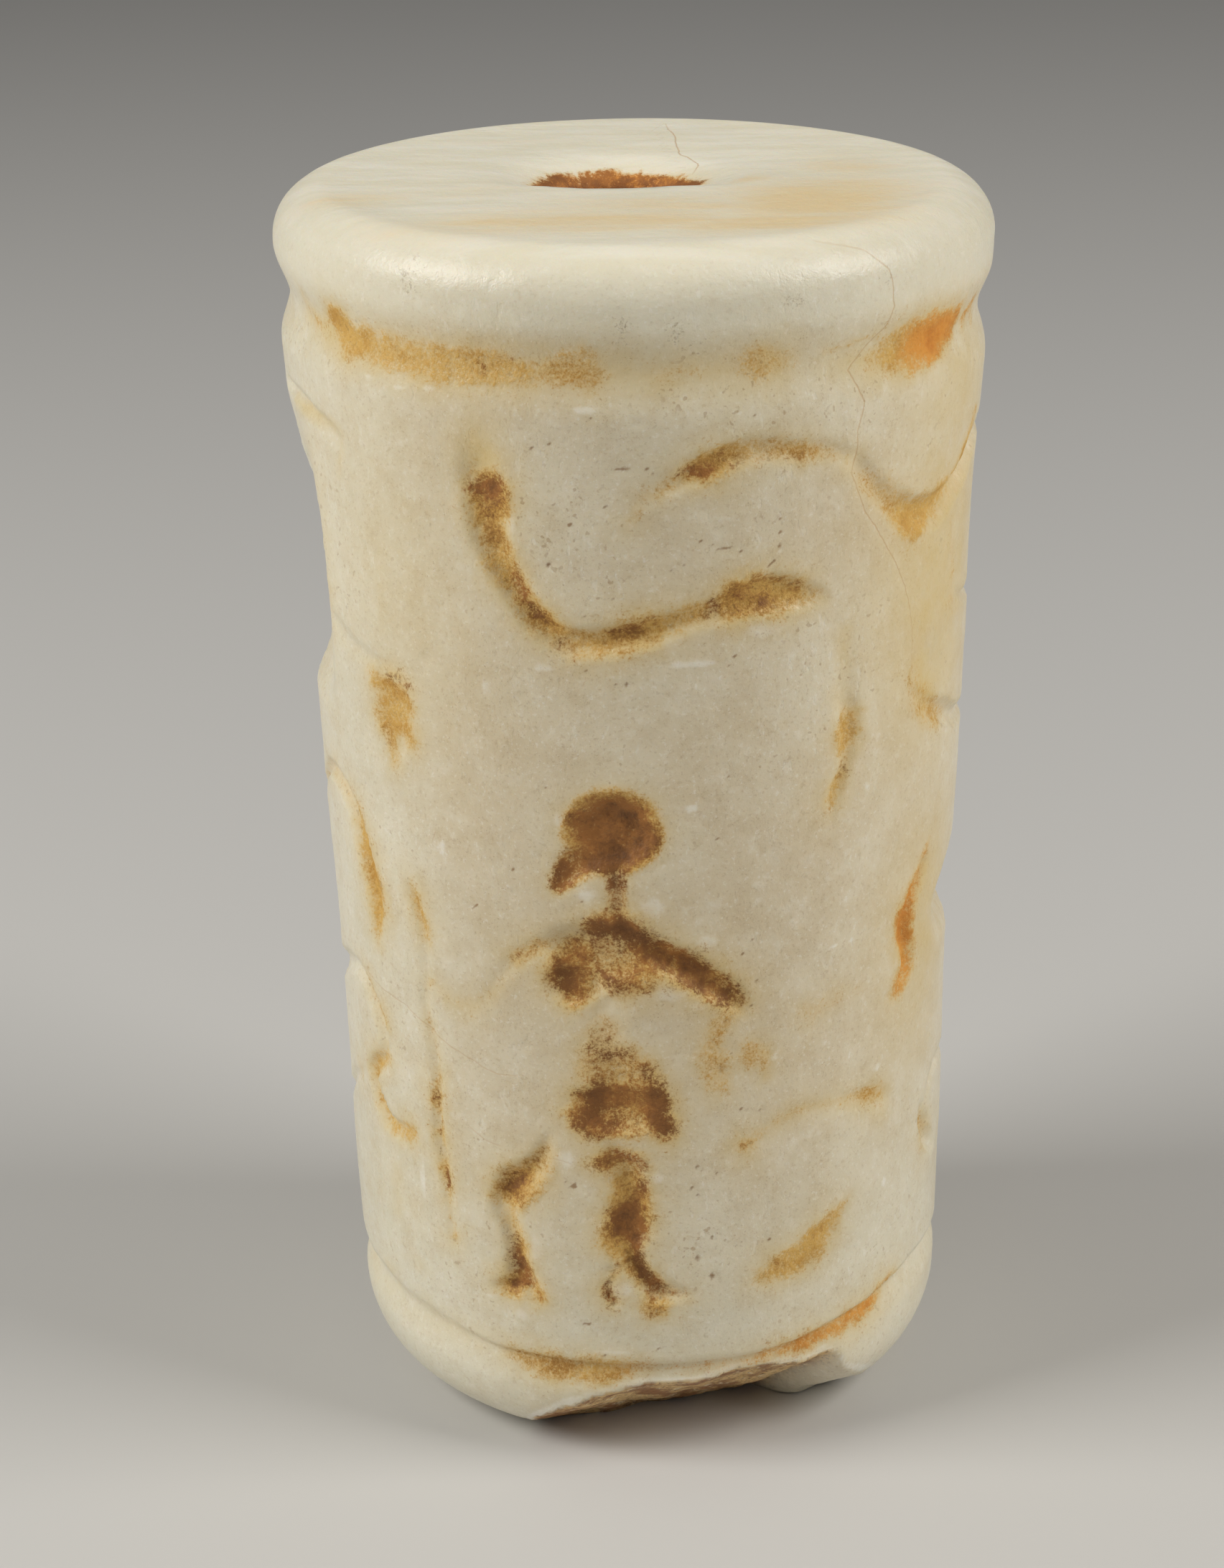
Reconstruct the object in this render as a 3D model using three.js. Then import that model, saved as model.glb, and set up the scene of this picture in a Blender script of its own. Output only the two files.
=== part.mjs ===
// Cylinder seal: one piece of pale stone standing on its lower end.
// A slightly tapered cylinder with a rounded band at each end, a hole drilled
// from end to end, figures cut into its side, and a broken lower edge.
// Millimetres, +Z up, origin at the middle of the underside.
// Angles are in degrees round the axis: 0 is the front (-Y), 90 is +X.

import * as THREE from 'three';
import { mergeVertices } from 'three/addons/utils/BufferGeometryUtils.js';

// ---- driving dimensions -------------------------------------------------

const HEIGHT = 32.7;            // underside to upper end
const RIM_TOP_RADIUS = 7.78;    // edge of the flat upper end
const RIM_ROUNDING = 1.26;      // rounding of the upper edge
const FOOT_FLAT_RADIUS = 5.35;  // edge of the flat underside
const FOOT_ROUNDING = 2.6;      // height of the rounding above the underside

// side of the blank, as [height, radius] from the foot to the rim
const SIDE = [
  [2.6, 7.93], [6.0, 8.06], [12.0, 8.18], [17.0, 8.39],
  [21.5, 8.53], [25.0, 8.70], [29.0, 8.93], [31.44, 9.04],
];

const UPPER_GROOVE = { z: 29.8, rise: -0.3, halfWidth: 1.05, depth: 0.27 };
const LOWER_GROOVE = { z: 3.15, left: 0.3, right: 0.7, above: 0.35, below: 0.95, depth: 0.22 };

const BORE_RADIUS = 1.75;
const BORE_CENTRE = [-0.4, 0.25];                 // the hole is a little off the middle
// shallow flare of the upper end, as [radius, depth below the face]
const UPPER_MOUTH = [[3.3, 0], [2.6, 0.13], [2.05, 0.36], [1.9, 0.85], [1.75, 2.3]];
const LOWER_MOUTH = { radius: 2.8, depth: 1.8 };

// the broken lower edge: a flat break that faces down and forward
const CHIP = { angle: 16, radius: 7.9, z: 2.82, slope: 0.76 };

// the side is a little flatter on the right
const FLATTENING = 0.06;

// the deep recess at the left, as [height, depth], and the angles of its edges
const LEFT_RECESS = {
  front: [-64, -76], back: [-122, -110],
  profile: [[19.7, 0], [20.2, 0.24], [20.6, 0.42], [21.2, 0.56], [22.5, 0.64],
    [24.4, 0.74], [24.9, 0.6], [25.6, 0.38], [26.4, 0.2], [27.3, 0.05], [27.7, 0]],
};

// grid: columns round the axis, closer together across the front
const COLUMNS = 68;
const FRONT_PACKING = 0.36;
const ROW_STEP = 0.6;
const MIN_CUT_WIDTH = 0.8;      // narrower cuts are opened to this

// ---- cut figures --------------------------------------------------------
// A stroke is a rounded channel along a few points [angle, z, width, depth].

const STROKES = {
  bentBody: [[-26, 28, 0.8, 0.05], [-25.4, 26.9, 1.05, 0.44], [-24, 25.6, 0.85, 0.4],
    [-20.5, 24.55, 0.7, 0.36], [-15, 23.5, 0.7, 0.37], [-9, 23.15, 0.65, 0.36],
    [1, 23.5, 0.6, 0.32], [9, 23.85, 0.5, 0.26], [16, 24.15, 0.75, 0.36],
    [21, 24.25, 0.9, 0.42], [26, 24.1, 0.7, 0.3], [31, 23.95, 0.3, 0.05]],
  arc: [[0, 26.8, 0.5, 0.04], [8, 27.45, 0.7, 0.3], [15, 27.75, 0.65, 0.27],
    [23, 27.75, 0.55, 0.2], [33, 27.4, 0.5, 0.16], [38, 26.7, 0.6, 0.22],
    [44, 25.8, 0.75, 0.3], [52, 25.35, 0.9, 0.4], [60, 25.35, 0.75, 0.33],
    [68, 25.7, 0.75, 0.33], [77, 26.3, 0.8, 0.28], [92, 26.6, 0.7, 0.15]],
  shortPost: [[34.5, 22.8, 0.8, 0.06], [35, 21.6, 0.8, 0.1], [36.5, 20.6, 0.7, 0.24],
    [35.6, 19.5, 0.45, 0.18], [33.6, 18.6, 0.5, 0.18], [32.8, 18.1, 0.2, 0.03]],
  rightLine: [[53, 20.6, 0.5, 0.14], [59, 19.9, 0.7, 0.22], [66, 19.4, 0.7, 0.24],
    [76, 18.95, 0.6, 0.18], [92, 18.7, 0.6, 0.16]],
  rightNotch: [[69, 22.5, 0.3, 0.08], [78, 22.1, 0.5, 0.13], [94, 21.9, 0.6, 0.14]],
  rightHook: [[60, 15.7, 0.4, 0.15], [55.5, 14.9, 0.6, 0.3], [53, 14.2, 0.6, 0.32],
    [55.5, 13.4, 0.6, 0.3], [58, 12.8, 0.7, 0.25], [55, 12.3, 0.6, 0.1]],
  rightLowLine: [[92, 8.6, 0.6, 0.12], [80, 9, 0.5, 0.12], [70, 9.1, 0.4, 0.1], [65, 8.4, 0.4, 0.05]],
  rightLeaf: [[63.5, 8.5, 0.3, 0.06], [65, 7.9, 0.6, 0.2], [68.5, 7.2, 0.65, 0.22],
    [73, 6.7, 0.45, 0.1]],
  lowArc: [[15, 9.1, 0.3, 0.05], [22, 9.8, 0.4, 0.15], [30, 10.05, 0.4, 0.13],
    [38, 10, 0.4, 0.14], [46, 9.6, 0.55, 0.2], [53, 9.3, 0.4, 0.05]],
  leaf: [[21, 5.6, 0.3, 0.08], [25.5, 5.65, 0.7, 0.28], [30, 5.8, 0.8, 0.32],
    [34, 6.2, 0.5, 0.2], [38, 6.6, 0.25, 0.06]],

  neck: [[-5, 17.4, 0.7, 0.2], [-5, 16.2, 0.6, 0.16]],
  beard: [[-8, 17.9, 1.1, 0.4], [-12, 17.4, 0.9, 0.32], [-15, 16.9, 0.5, 0.16]],
  rightArm: [[-4, 15.7, 0.7, 0.36], [2, 15.15, 0.8, 0.5], [7, 14.65, 0.8, 0.5],
    [11.5, 14, 0.75, 0.44], [15.5, 13.45, 0.7, 0.38], [17, 13, 0.3, 0.1]],
  rightForearm: [[13.5, 13.1, 0.4, 0.12], [11, 12.4, 0.45, 0.1], [10.8, 11.5, 0.5, 0.07]],
  leftArm: [[-12, 15.4, 0.5, 0.3], [-20, 15, 0.5, 0.24], [-25, 14.3, 0.4, 0.14],
    [-31, 13.2, 0.4, 0.1], [-38, 13.1, 0.4, 0.1], [-43, 13.9, 0.3, 0.06]],
  waist: [[-8, 13.6, 1.2, 0.2], [-7, 12.4, 0.9, 0.12], [-6, 11.5, 1.2, 0.25]],
  leftLeg: [[-18.5, 9.8, 0.3, 0.08], [-21.5, 9.05, 0.6, 0.28], [-25.5, 8.3, 0.9, 0.44],
    [-28.6, 7.7, 0.8, 0.34], [-27.6, 6.9, 0.6, 0.26], [-26, 6.1, 0.65, 0.32],
    [-24.6, 5.45, 0.8, 0.42], [-23, 5.15, 0.5, 0.2]],
  leftFoot: [[-24, 5.5, 0.6, 0.36], [-27.5, 5.2, 0.55, 0.36], [-31.5, 5.05, 0.25, 0.06]],
  rightLeg: [[-6, 9.45, 0.7, 0.14], [-4.6, 9, 1.1, 0.36], [-4, 8.2, 1, 0.42],
    [-4.2, 7.4, 0.95, 0.46], [-4.6, 6.8, 0.7, 0.36], [-2.5, 6.1, 0.65, 0.36],
    [0.5, 5.55, 0.75, 0.42], [4.5, 5.3, 0.45, 0.22], [7.5, 5.3, 0.25, 0.05]],

  staff: [[-46.5, 15.9, 0.2, 0.06], [-45, 15.3, 0.35, 0.18], [-43.6, 14.2, 0.25, 0.1],
    [-43.8, 12.8, 0.35, 0.13], [-43.5, 11.2, 0.35, 0.15], [-42.6, 9.8, 0.35, 0.2],
    [-41.6, 8.1, 0.3, 0.18], [-40.6, 6.9, 0.25, 0.1], [-40, 6, 0.3, 0.08]],
  smallRecess: [[-50.5, 21.5, 0.5, 0.1], [-47.8, 20.9, 1, 0.26], [-48.6, 20.2, 1.05, 0.28],
    [-49.6, 19.2, 0.4, 0.05]],
  recessLip: [[-78, 27.9, 0.5, 0.12], [-66, 27.8, 0.5, 0.12], [-57, 27.4, 0.5, 0.12],
    [-55.5, 26.7, 0.4, 0.04]],
  leftLoop: [[-92, 16.1, 0.6, 0.14], [-84, 16.9, 0.55, 0.13], [-76, 17.8, 0.5, 0.15],
    [-68, 17.75, 0.6, 0.19], [-62.5, 16.9, 0.65, 0.24], [-59.2, 15.7, 0.7, 0.28],
    [-57.8, 14.8, 0.6, 0.22], [-58.8, 13.9, 0.4, 0.08]],
  leftHook: [[-94, 11.4, 0.9, 0.22], [-85, 11.7, 0.9, 0.22], [-75, 12.3, 0.7, 0.2],
    [-66, 12.5, 0.55, 0.2], [-60.5, 11.8, 0.5, 0.22], [-57.5, 10.8, 0.55, 0.22],
    [-62, 10.2, 0.55, 0.24], [-66, 9.65, 0.6, 0.26], [-63, 8.95, 0.55, 0.24],
    [-56, 8.6, 0.55, 0.22], [-49, 8.8, 0.4, 0.1]],
  leftLowLine: [[-96, 7.3, 0.5, 0.1], [-84, 8, 0.5, 0.12], [-76, 8.9, 0.5, 0.1], [-69, 9.4, 0.4, 0.04]],

  // back: a plainer standing figure, a horned animal, a plant and a star
  backNeck: [[122, 17.3, 0.6, 0.2], [122, 16, 0.7, 0.25]],
  backTorso: [[122, 15.6, 1.7, 0.38], [122, 13.6, 1.3, 0.34], [122, 11.6, 1, 0.28]],
  backArmA: [[117, 15.5, 0.7, 0.36], [110, 14.8, 0.7, 0.34], [104, 16, 0.6, 0.24]],
  backArmB: [[127, 15.5, 0.7, 0.36], [134, 14.6, 0.7, 0.34], [139, 13.2, 0.6, 0.24]],
  backSkirt: [[121, 10.8, 1.7, 0.4], [121, 9, 2.1, 0.36], [121, 7.4, 2.2, 0.3]],
  backLegA: [[117, 7.2, 0.7, 0.3], [117, 5.5, 0.65, 0.32], [112, 5.1, 0.5, 0.2]],
  backLegB: [[127, 7.2, 0.7, 0.3], [127, 5.5, 0.65, 0.32], [122, 5.1, 0.5, 0.2]],
  beastBody: [[160, 12.6, 1.3, 0.42], [170, 12.2, 1.5, 0.46], [183, 12.4, 1.4, 0.44],
    [192, 12.7, 1.1, 0.34]],
  beastNeck: [[163, 13, 1, 0.4], [158, 14.8, 0.8, 0.38], [156, 16, 0.8, 0.4], [151, 16, 0.6, 0.28]],
  beastHorn: [[157, 16.4, 0.45, 0.24], [160, 18.6, 0.5, 0.28], [168, 19.9, 0.45, 0.24],
    [176, 19.2, 0.35, 0.1]],
  beastForeLegA: [[161, 11.6, 0.7, 0.34], [158, 9, 0.6, 0.3], [160, 6.2, 0.5, 0.24]],
  beastForeLegB: [[166, 11.6, 0.7, 0.3], [167, 9, 0.6, 0.28], [168, 6.2, 0.5, 0.22]],
  beastHindLegA: [[188, 11.8, 0.9, 0.36], [192, 9.2, 0.6, 0.3], [188, 6.2, 0.5, 0.24]],
  beastHindLegB: [[184, 11.6, 0.8, 0.3], [184, 9, 0.6, 0.26], [181, 6.2, 0.5, 0.22]],
  beastTail: [[193, 12.8, 0.5, 0.24], [199, 12, 0.4, 0.2], [200, 10.4, 0.4, 0.1]],
  plantStem: [[227, 5.4, 0.6, 0.24], [226, 10, 0.6, 0.28], [228, 15, 0.6, 0.26], [227, 19, 0.5, 0.12]],
  starRayA: [[141, 25, 0.2, 0.05], [150, 25, 0.7, 0.38], [159, 25, 0.2, 0.05]],
  starRayB: [[150, 23.6, 0.2, 0.05], [150, 25, 0.7, 0.38], [150, 26.4, 0.2, 0.05]],
  starRayC: [[144, 24.1, 0.2, 0.05], [150, 25, 0.7, 0.38], [156, 25.9, 0.2, 0.05]],
  starRayD: [[144, 25.9, 0.2, 0.05], [150, 25, 0.7, 0.38], [156, 24.1, 0.2, 0.05]],
  crescent: [[187, 26.6, 0.3, 0.08], [190, 24.9, 0.7, 0.34], [198, 24.1, 0.85, 0.4],
    [206, 24.9, 0.7, 0.34], [209, 26.6, 0.3, 0.08]],
};

// pairs of leaves on the plant, from the lowest up
const LEAF_ROWS = 4;
for (let i = 0; i < LEAF_ROWS; i++) {
  const z = 8 + 2.7 * i;
  const reach = 9.5 - 1.2 * i;
  STROKES[`leafLeft${i}`] = [[226, z, 0.5, 0.24], [226 - 0.6 * reach, z + 1.3, 0.6, 0.28], [226 - reach, z + 1.7, 0.35, 0.08]];
  STROKES[`leafRight${i}`] = [[227, z, 0.5, 0.24], [227 + 0.6 * reach, z + 1.3, 0.6, 0.28], [227 + reach, z + 1.7, 0.35, 0.08]];
}

// A hollow is an oval dish: centre, half sizes in mm, depth, tilt, edge softness.
const HOLLOWS = {
  head: { at: [-5.6, 18.45], half: [1.12, 1.1], depth: 0.56, tilt: 0, soft: 0.55 },
  shoulders: { at: [-8.5, 15], half: [1.5, 0.85], depth: 0.42, tilt: -12, soft: 0.5 },
  chest: { at: [-12.5, 14.1], half: [0.95, 0.7], depth: 0.4, tilt: 0, soft: 0.5 },
  hips: { at: [-5.8, 10.75], half: [1.45, 0.85], depth: 0.42, tilt: 0, soft: 0.6 },
  rightRecess: { at: [98, 14.15], half: [5.4, 1.75], depth: 0.56, tilt: 4, soft: 0.55 },
  rightShallow: { at: [60, 21], half: [1.5, 1.6], depth: 0.1, tilt: 0, soft: 0.8 },
  backHead: { at: [122, 18.3], half: [1.05, 1.05], depth: 0.5, tilt: 0, soft: 0.55 },
};

// ---- side surface -------------------------------------------------------

const smooth = (t) => { const c = Math.min(1, Math.max(0, t)); return c * c * (3 - 2 * c); };
const wrap = (a) => ((a + 180) % 360 + 360) % 360 - 180;
const MM_PER_DEGREE = 8.4 * Math.PI / 180;

// value at z in a table of [z, value], straight between its rows
function between(table, z) {
  let i = 1;
  while (i < table.length - 1 && z > table[i][0]) i++;
  const [z0, v0] = table[i - 1];
  const [z1, v1] = table[i];
  return v0 + (v1 - v0) * Math.min(1, Math.max(0, (z - z0) / (z1 - z0)));
}

function sideRadius(z) {
  if (z < FOOT_ROUNDING) {
    const t = 1 - z / FOOT_ROUNDING;
    return FOOT_FLAT_RADIUS + (SIDE[0][1] - FOOT_FLAT_RADIUS) * Math.sqrt(Math.max(0, 1 - t * t));
  }
  const rimStart = HEIGHT - RIM_ROUNDING;
  if (z > rimStart) {
    const t = Math.min(1, (z - rimStart) / RIM_ROUNDING);
    return RIM_TOP_RADIUS + RIM_ROUNDING * Math.sqrt(Math.max(0, 1 - t * t));
  }
  return between(SIDE, z);
}

const lowerGrooveZ = (a) => LOWER_GROOVE.z
  + (a > 0 ? LOWER_GROOVE.right * smooth((a - 18) / 45) : LOWER_GROOVE.left * smooth((-a - 25) / 50))
  * smooth((180 - Math.abs(a)) / 60);
const upperGrooveZ = (a) => UPPER_GROOVE.z + UPPER_GROOVE.rise * Math.sin(a * Math.PI / 180);

function grooves(a, z) {
  const u = (z - upperGrooveZ(a)) / UPPER_GROOVE.halfWidth;
  const l = z - lowerGrooveZ(a);
  const v = l > 0 ? l / LOWER_GROOVE.above : -l / LOWER_GROOVE.below;
  return UPPER_GROOVE.depth * (1 - smooth(Math.abs(u))) + LOWER_GROOVE.depth * (1 - smooth(v));
}

// each stroke becomes a smooth run of round cuts
const strokeSamples = Object.values(STROKES).map((points) => {
  const path = new THREE.CatmullRomCurve3(points.map(([a, z]) => new THREE.Vector3(a * MM_PER_DEGREE, z, 0)), false, 'centripetal');
  const cut = new THREE.CatmullRomCurve3(points.map(([, , w, d]) => new THREE.Vector3(w, d, 0)), false, 'centripetal');
  const steps = Math.ceil(path.getLength() / 0.15);
  const run = [];
  for (let i = 0; i <= steps; i++) {
    const t = i / steps;
    const p = path.getPoint(t);
    const c = cut.getPoint(t);
    run.push([p.x / MM_PER_DEGREE, p.y, Math.max(MIN_CUT_WIDTH, c.x) / 2, Math.max(0, c.y)]);
  }
  return run;
});

function leftRecess(a, z) {
  const { front, back, profile } = LEFT_RECESS;
  return between(profile, z) * smooth((front[0] - a) / (front[0] - front[1])) * smooth((a - back[0]) / (back[1] - back[0]));
}

const flattening = (a, z) => FLATTENING * Math.max(0, Math.sin(a * Math.PI / 180))
  * smooth((z - 2.6) / 3) * smooth((28.5 - z) / 3);

function cutDepth(a, z) {
  let deepest = leftRecess(a, z);
  for (const run of strokeSamples) {
    for (const [sa, sz, half, depth] of run) {
      const dz = Math.abs(z - sz);
      if (dz > half || depth <= deepest) continue;
      const da = Math.abs(wrap(a - sa)) * MM_PER_DEGREE;
      const d = Math.hypot(da, dz) / half;
      if (d < 1) deepest = Math.max(deepest, depth * (1 - d * d));
    }
  }
  for (const { at, half, depth, tilt, soft } of Object.values(HOLLOWS)) {
    const x = wrap(a - at[0]) * MM_PER_DEGREE;
    const y = z - at[1];
    const c = Math.cos(tilt * Math.PI / 180);
    const s = Math.sin(tilt * Math.PI / 180);
    const d = Math.hypot((x * c + y * s) / half[0], (-x * s + y * c) / half[1]);
    if (d < 1) deepest = Math.max(deepest, depth * smooth((1 - d) / soft));
  }
  return deepest;
}

// radius of the break at a height, measured from the axis
function chipRadius(a, z) {
  const c = Math.cos(wrap(a - CHIP.angle) * Math.PI / 180);
  if (c < 0.2) return Infinity;
  return (CHIP.radius - (CHIP.z - z) / CHIP.slope) / c;
}

function outerRadius(a, z) {
  const inside = z > FOOT_ROUNDING * 0.9 && z < HEIGHT - RIM_ROUNDING;
  const carved = inside ? grooves(a, z) + flattening(a, z) + (z > 4 && z < 29.2 ? cutDepth(a, z) : 0) : 0;
  return Math.min(sideRadius(z) - carved, chipRadius(a, z));
}

// ---- section ------------------------------------------------------------
// Closed loop of [radius, z]: underside, side, upper end, hole, lower mouth.

const loop = [];
const outerRows = new Set();
const addSide = (z) => { outerRows.add(loop.length); loop.push(new THREE.Vector2(sideRadius(z), z)); };

loop.push(new THREE.Vector2(LOWER_MOUTH.radius, 0));
const FOOT_STEPS = 6;
for (let i = 0; i < FOOT_STEPS; i++) addSide(FOOT_ROUNDING * (1 - Math.cos((i / FOOT_STEPS) * Math.PI / 2)));
for (const z of [2.6, 2.9, 3.2, 3.5, 3.8, 4.15]) addSide(z);
const BODY_ROWS = Math.round((28.6 - 4.15) / ROW_STEP);
for (let i = 1; i <= BODY_ROWS; i++) addSide(4.15 + (28.6 - 4.15) * i / BODY_ROWS);
for (const z of [29.1, 29.5, 29.8, 30.1, 30.5, 30.95]) addSide(z);
const RIM_STEPS = 4;
for (let i = 0; i <= RIM_STEPS; i++) addSide(HEIGHT - RIM_ROUNDING + RIM_ROUNDING * Math.sin((i / RIM_STEPS) * Math.PI / 2));

// upper flare, then the lower mouth as a quarter curve out of the hole
for (const [r, depth] of UPPER_MOUTH) loop.push(new THREE.Vector2(r, HEIGHT - depth));
const MOUTH_STEPS = 3;
for (let i = MOUTH_STEPS; i >= 0; i--) {
  const t = (i / MOUTH_STEPS) * Math.PI / 2;
  loop.push(new THREE.Vector2(
    LOWER_MOUTH.radius - (LOWER_MOUTH.radius - BORE_RADIUS) * Math.sin(t),
    LOWER_MOUTH.depth * (1 - Math.cos(t))));
}

// ---- solid --------------------------------------------------------------

function sealGeometry() {
  const geometry = new THREE.LatheGeometry(loop, COLUMNS);
  geometry.deleteAttribute('normal');
  geometry.deleteAttribute('uv');
  const position = geometry.getAttribute('position');
  for (let column = 0; column <= COLUMNS; column++) {
    const even = ((column % COLUMNS) / COLUMNS) * Math.PI * 2;
    const turn = even - FRONT_PACKING * Math.sin(even);      // closer near 0, the front
    const a = wrap(turn * 180 / Math.PI);
    for (let row = 0; row < loop.length; row++) {
      const { x, y: z } = loop[row];
      const outer = outerRows.has(row);
      const r = outer ? outerRadius(a, z) : x;
      const [dx, dy] = outer ? [0, 0] : BORE_CENTRE;
      position.setXYZ(column * loop.length + row, dx + r * Math.sin(turn), dy - r * Math.cos(turn), z);
    }
  }
  return mergeVertices(geometry, 1e-5);
}

const stone = new THREE.MeshStandardMaterial({ name: 'pale_stone', color: 0xd3c6a8, roughness: 0.42, metalness: 0 });

const seal = new THREE.Mesh(sealGeometry(), stone);
seal.name = 'seal';

const group = new THREE.Group();
group.name = 'cylinder_seal';
group.add(seal);

export default group;
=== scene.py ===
import math

import bpy
import numpy as np
from mathutils import Matrix


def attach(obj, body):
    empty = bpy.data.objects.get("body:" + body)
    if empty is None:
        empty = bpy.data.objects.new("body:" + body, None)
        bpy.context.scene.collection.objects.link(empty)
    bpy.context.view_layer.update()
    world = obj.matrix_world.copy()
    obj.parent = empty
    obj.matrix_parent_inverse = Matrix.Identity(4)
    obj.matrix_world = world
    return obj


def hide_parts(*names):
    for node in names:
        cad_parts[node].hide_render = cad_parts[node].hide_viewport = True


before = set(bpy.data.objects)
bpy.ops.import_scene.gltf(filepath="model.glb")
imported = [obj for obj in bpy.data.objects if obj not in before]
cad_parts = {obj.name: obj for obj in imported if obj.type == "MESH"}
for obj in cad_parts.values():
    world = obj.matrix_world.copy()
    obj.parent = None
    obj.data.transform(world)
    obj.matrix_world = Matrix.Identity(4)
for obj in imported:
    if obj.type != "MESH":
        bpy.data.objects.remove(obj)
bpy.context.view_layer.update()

# A cylinder seal of pale stone, standing on its lower end.
# Sizes below are in millimetres, and angles in degrees round the axis: 0 is the
# front (-Y) and 90 is +X. The mesh is written in metres.

MM = 0.001
HEIGHT = 32.7
RIM_TOP_RADIUS = 7.78
RIM_ROUNDING = 1.26
FOOT_FLAT_RADIUS = 5.35
FOOT_ROUNDING = 2.6
SIDE = [(2.6, 7.93), (6.0, 8.06), (12.0, 8.18), (17.0, 8.39),
        (21.5, 8.53), (25.0, 8.70), (29.0, 8.93), (31.44, 9.02)]
BORE_RADIUS = 1.75
BORE_CENTRE = (-0.4, 0.25)
UPPER_MOUTH = [(3.3, 0.0), (2.6, 0.13), (2.05, 0.36), (1.9, 0.85), (1.75, 2.3)]   # radius, depth below the face
LOWER_MOUTH = (2.8, 1.8)
CHIP = dict(angle=16.0, radius=7.9, z=2.82, slope=0.76)
FLATTENING = 0.06
TOP_TILT = 0.0060               # the upper face falls a little to the right
LEFT_RECESS = dict(front=(-64, -76), back=(-122, -110),
                   profile=[(19.7, 0), (20.2, 0.24), (20.6, 0.42), (21.2, 0.56), (22.5, 0.64),
                            (24.4, 0.74), (24.9, 0.6), (25.6, 0.38), (26.4, 0.2), (27.3, 0.05), (27.7, 0)])
MM_PER_DEG = 8.4 * math.pi / 180

COLUMNS = 292
SEED = 41


# ---------------------------------------------------------------- noise

def lattice(ix, iy, iz, seed):
    h = (ix * 374761393 + iy * 668265263 + iz * 2147483647 + seed * 974634777) & 0xFFFFFFFF
    h = ((h ^ (h >> 13)) * 1274126177) & 0xFFFFFFFF
    h = ((h ^ (h >> 16)) * 2246822519) & 0xFFFFFFFF
    return ((h ^ (h >> 15)) & 0xFFFFFF) / float(0xFFFFFF) * 2 - 1


def noise(p, scale, seed, octaves=1):
    """Smooth noise about -1 to 1 at points p (n, 3), with features about 1/scale across."""
    total, amp, norm = np.zeros(len(p)), 1.0, 0.0
    for o in range(octaves):
        q = p * scale * 2 ** o + 17.3 * o
        i = np.floor(q).astype(np.int64)
        f = q - i
        u = f * f * f * (f * (f * 6 - 15) + 10)
        v = np.zeros(len(p))
        for dx in (0, 1):
            for dy in (0, 1):
                for dz in (0, 1):
                    w = (u[:, 0] if dx else 1 - u[:, 0]) * (u[:, 1] if dy else 1 - u[:, 1]) * (u[:, 2] if dz else 1 - u[:, 2])
                    v += w * lattice(i[:, 0] + dx, i[:, 1] + dy, i[:, 2] + dz, seed + 31 * o)
        total += amp * v
        norm += amp
        amp *= 0.5
    return total / norm


def smooth(t):
    t = np.clip(t, 0, 1)
    return t * t * (3 - 2 * t)


def wrap(a):
    return (a + 180) % 360 - 180


# ---------------------------------------------------------------- cut figures
# stroke: points (angle, z, width, depth)

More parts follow.
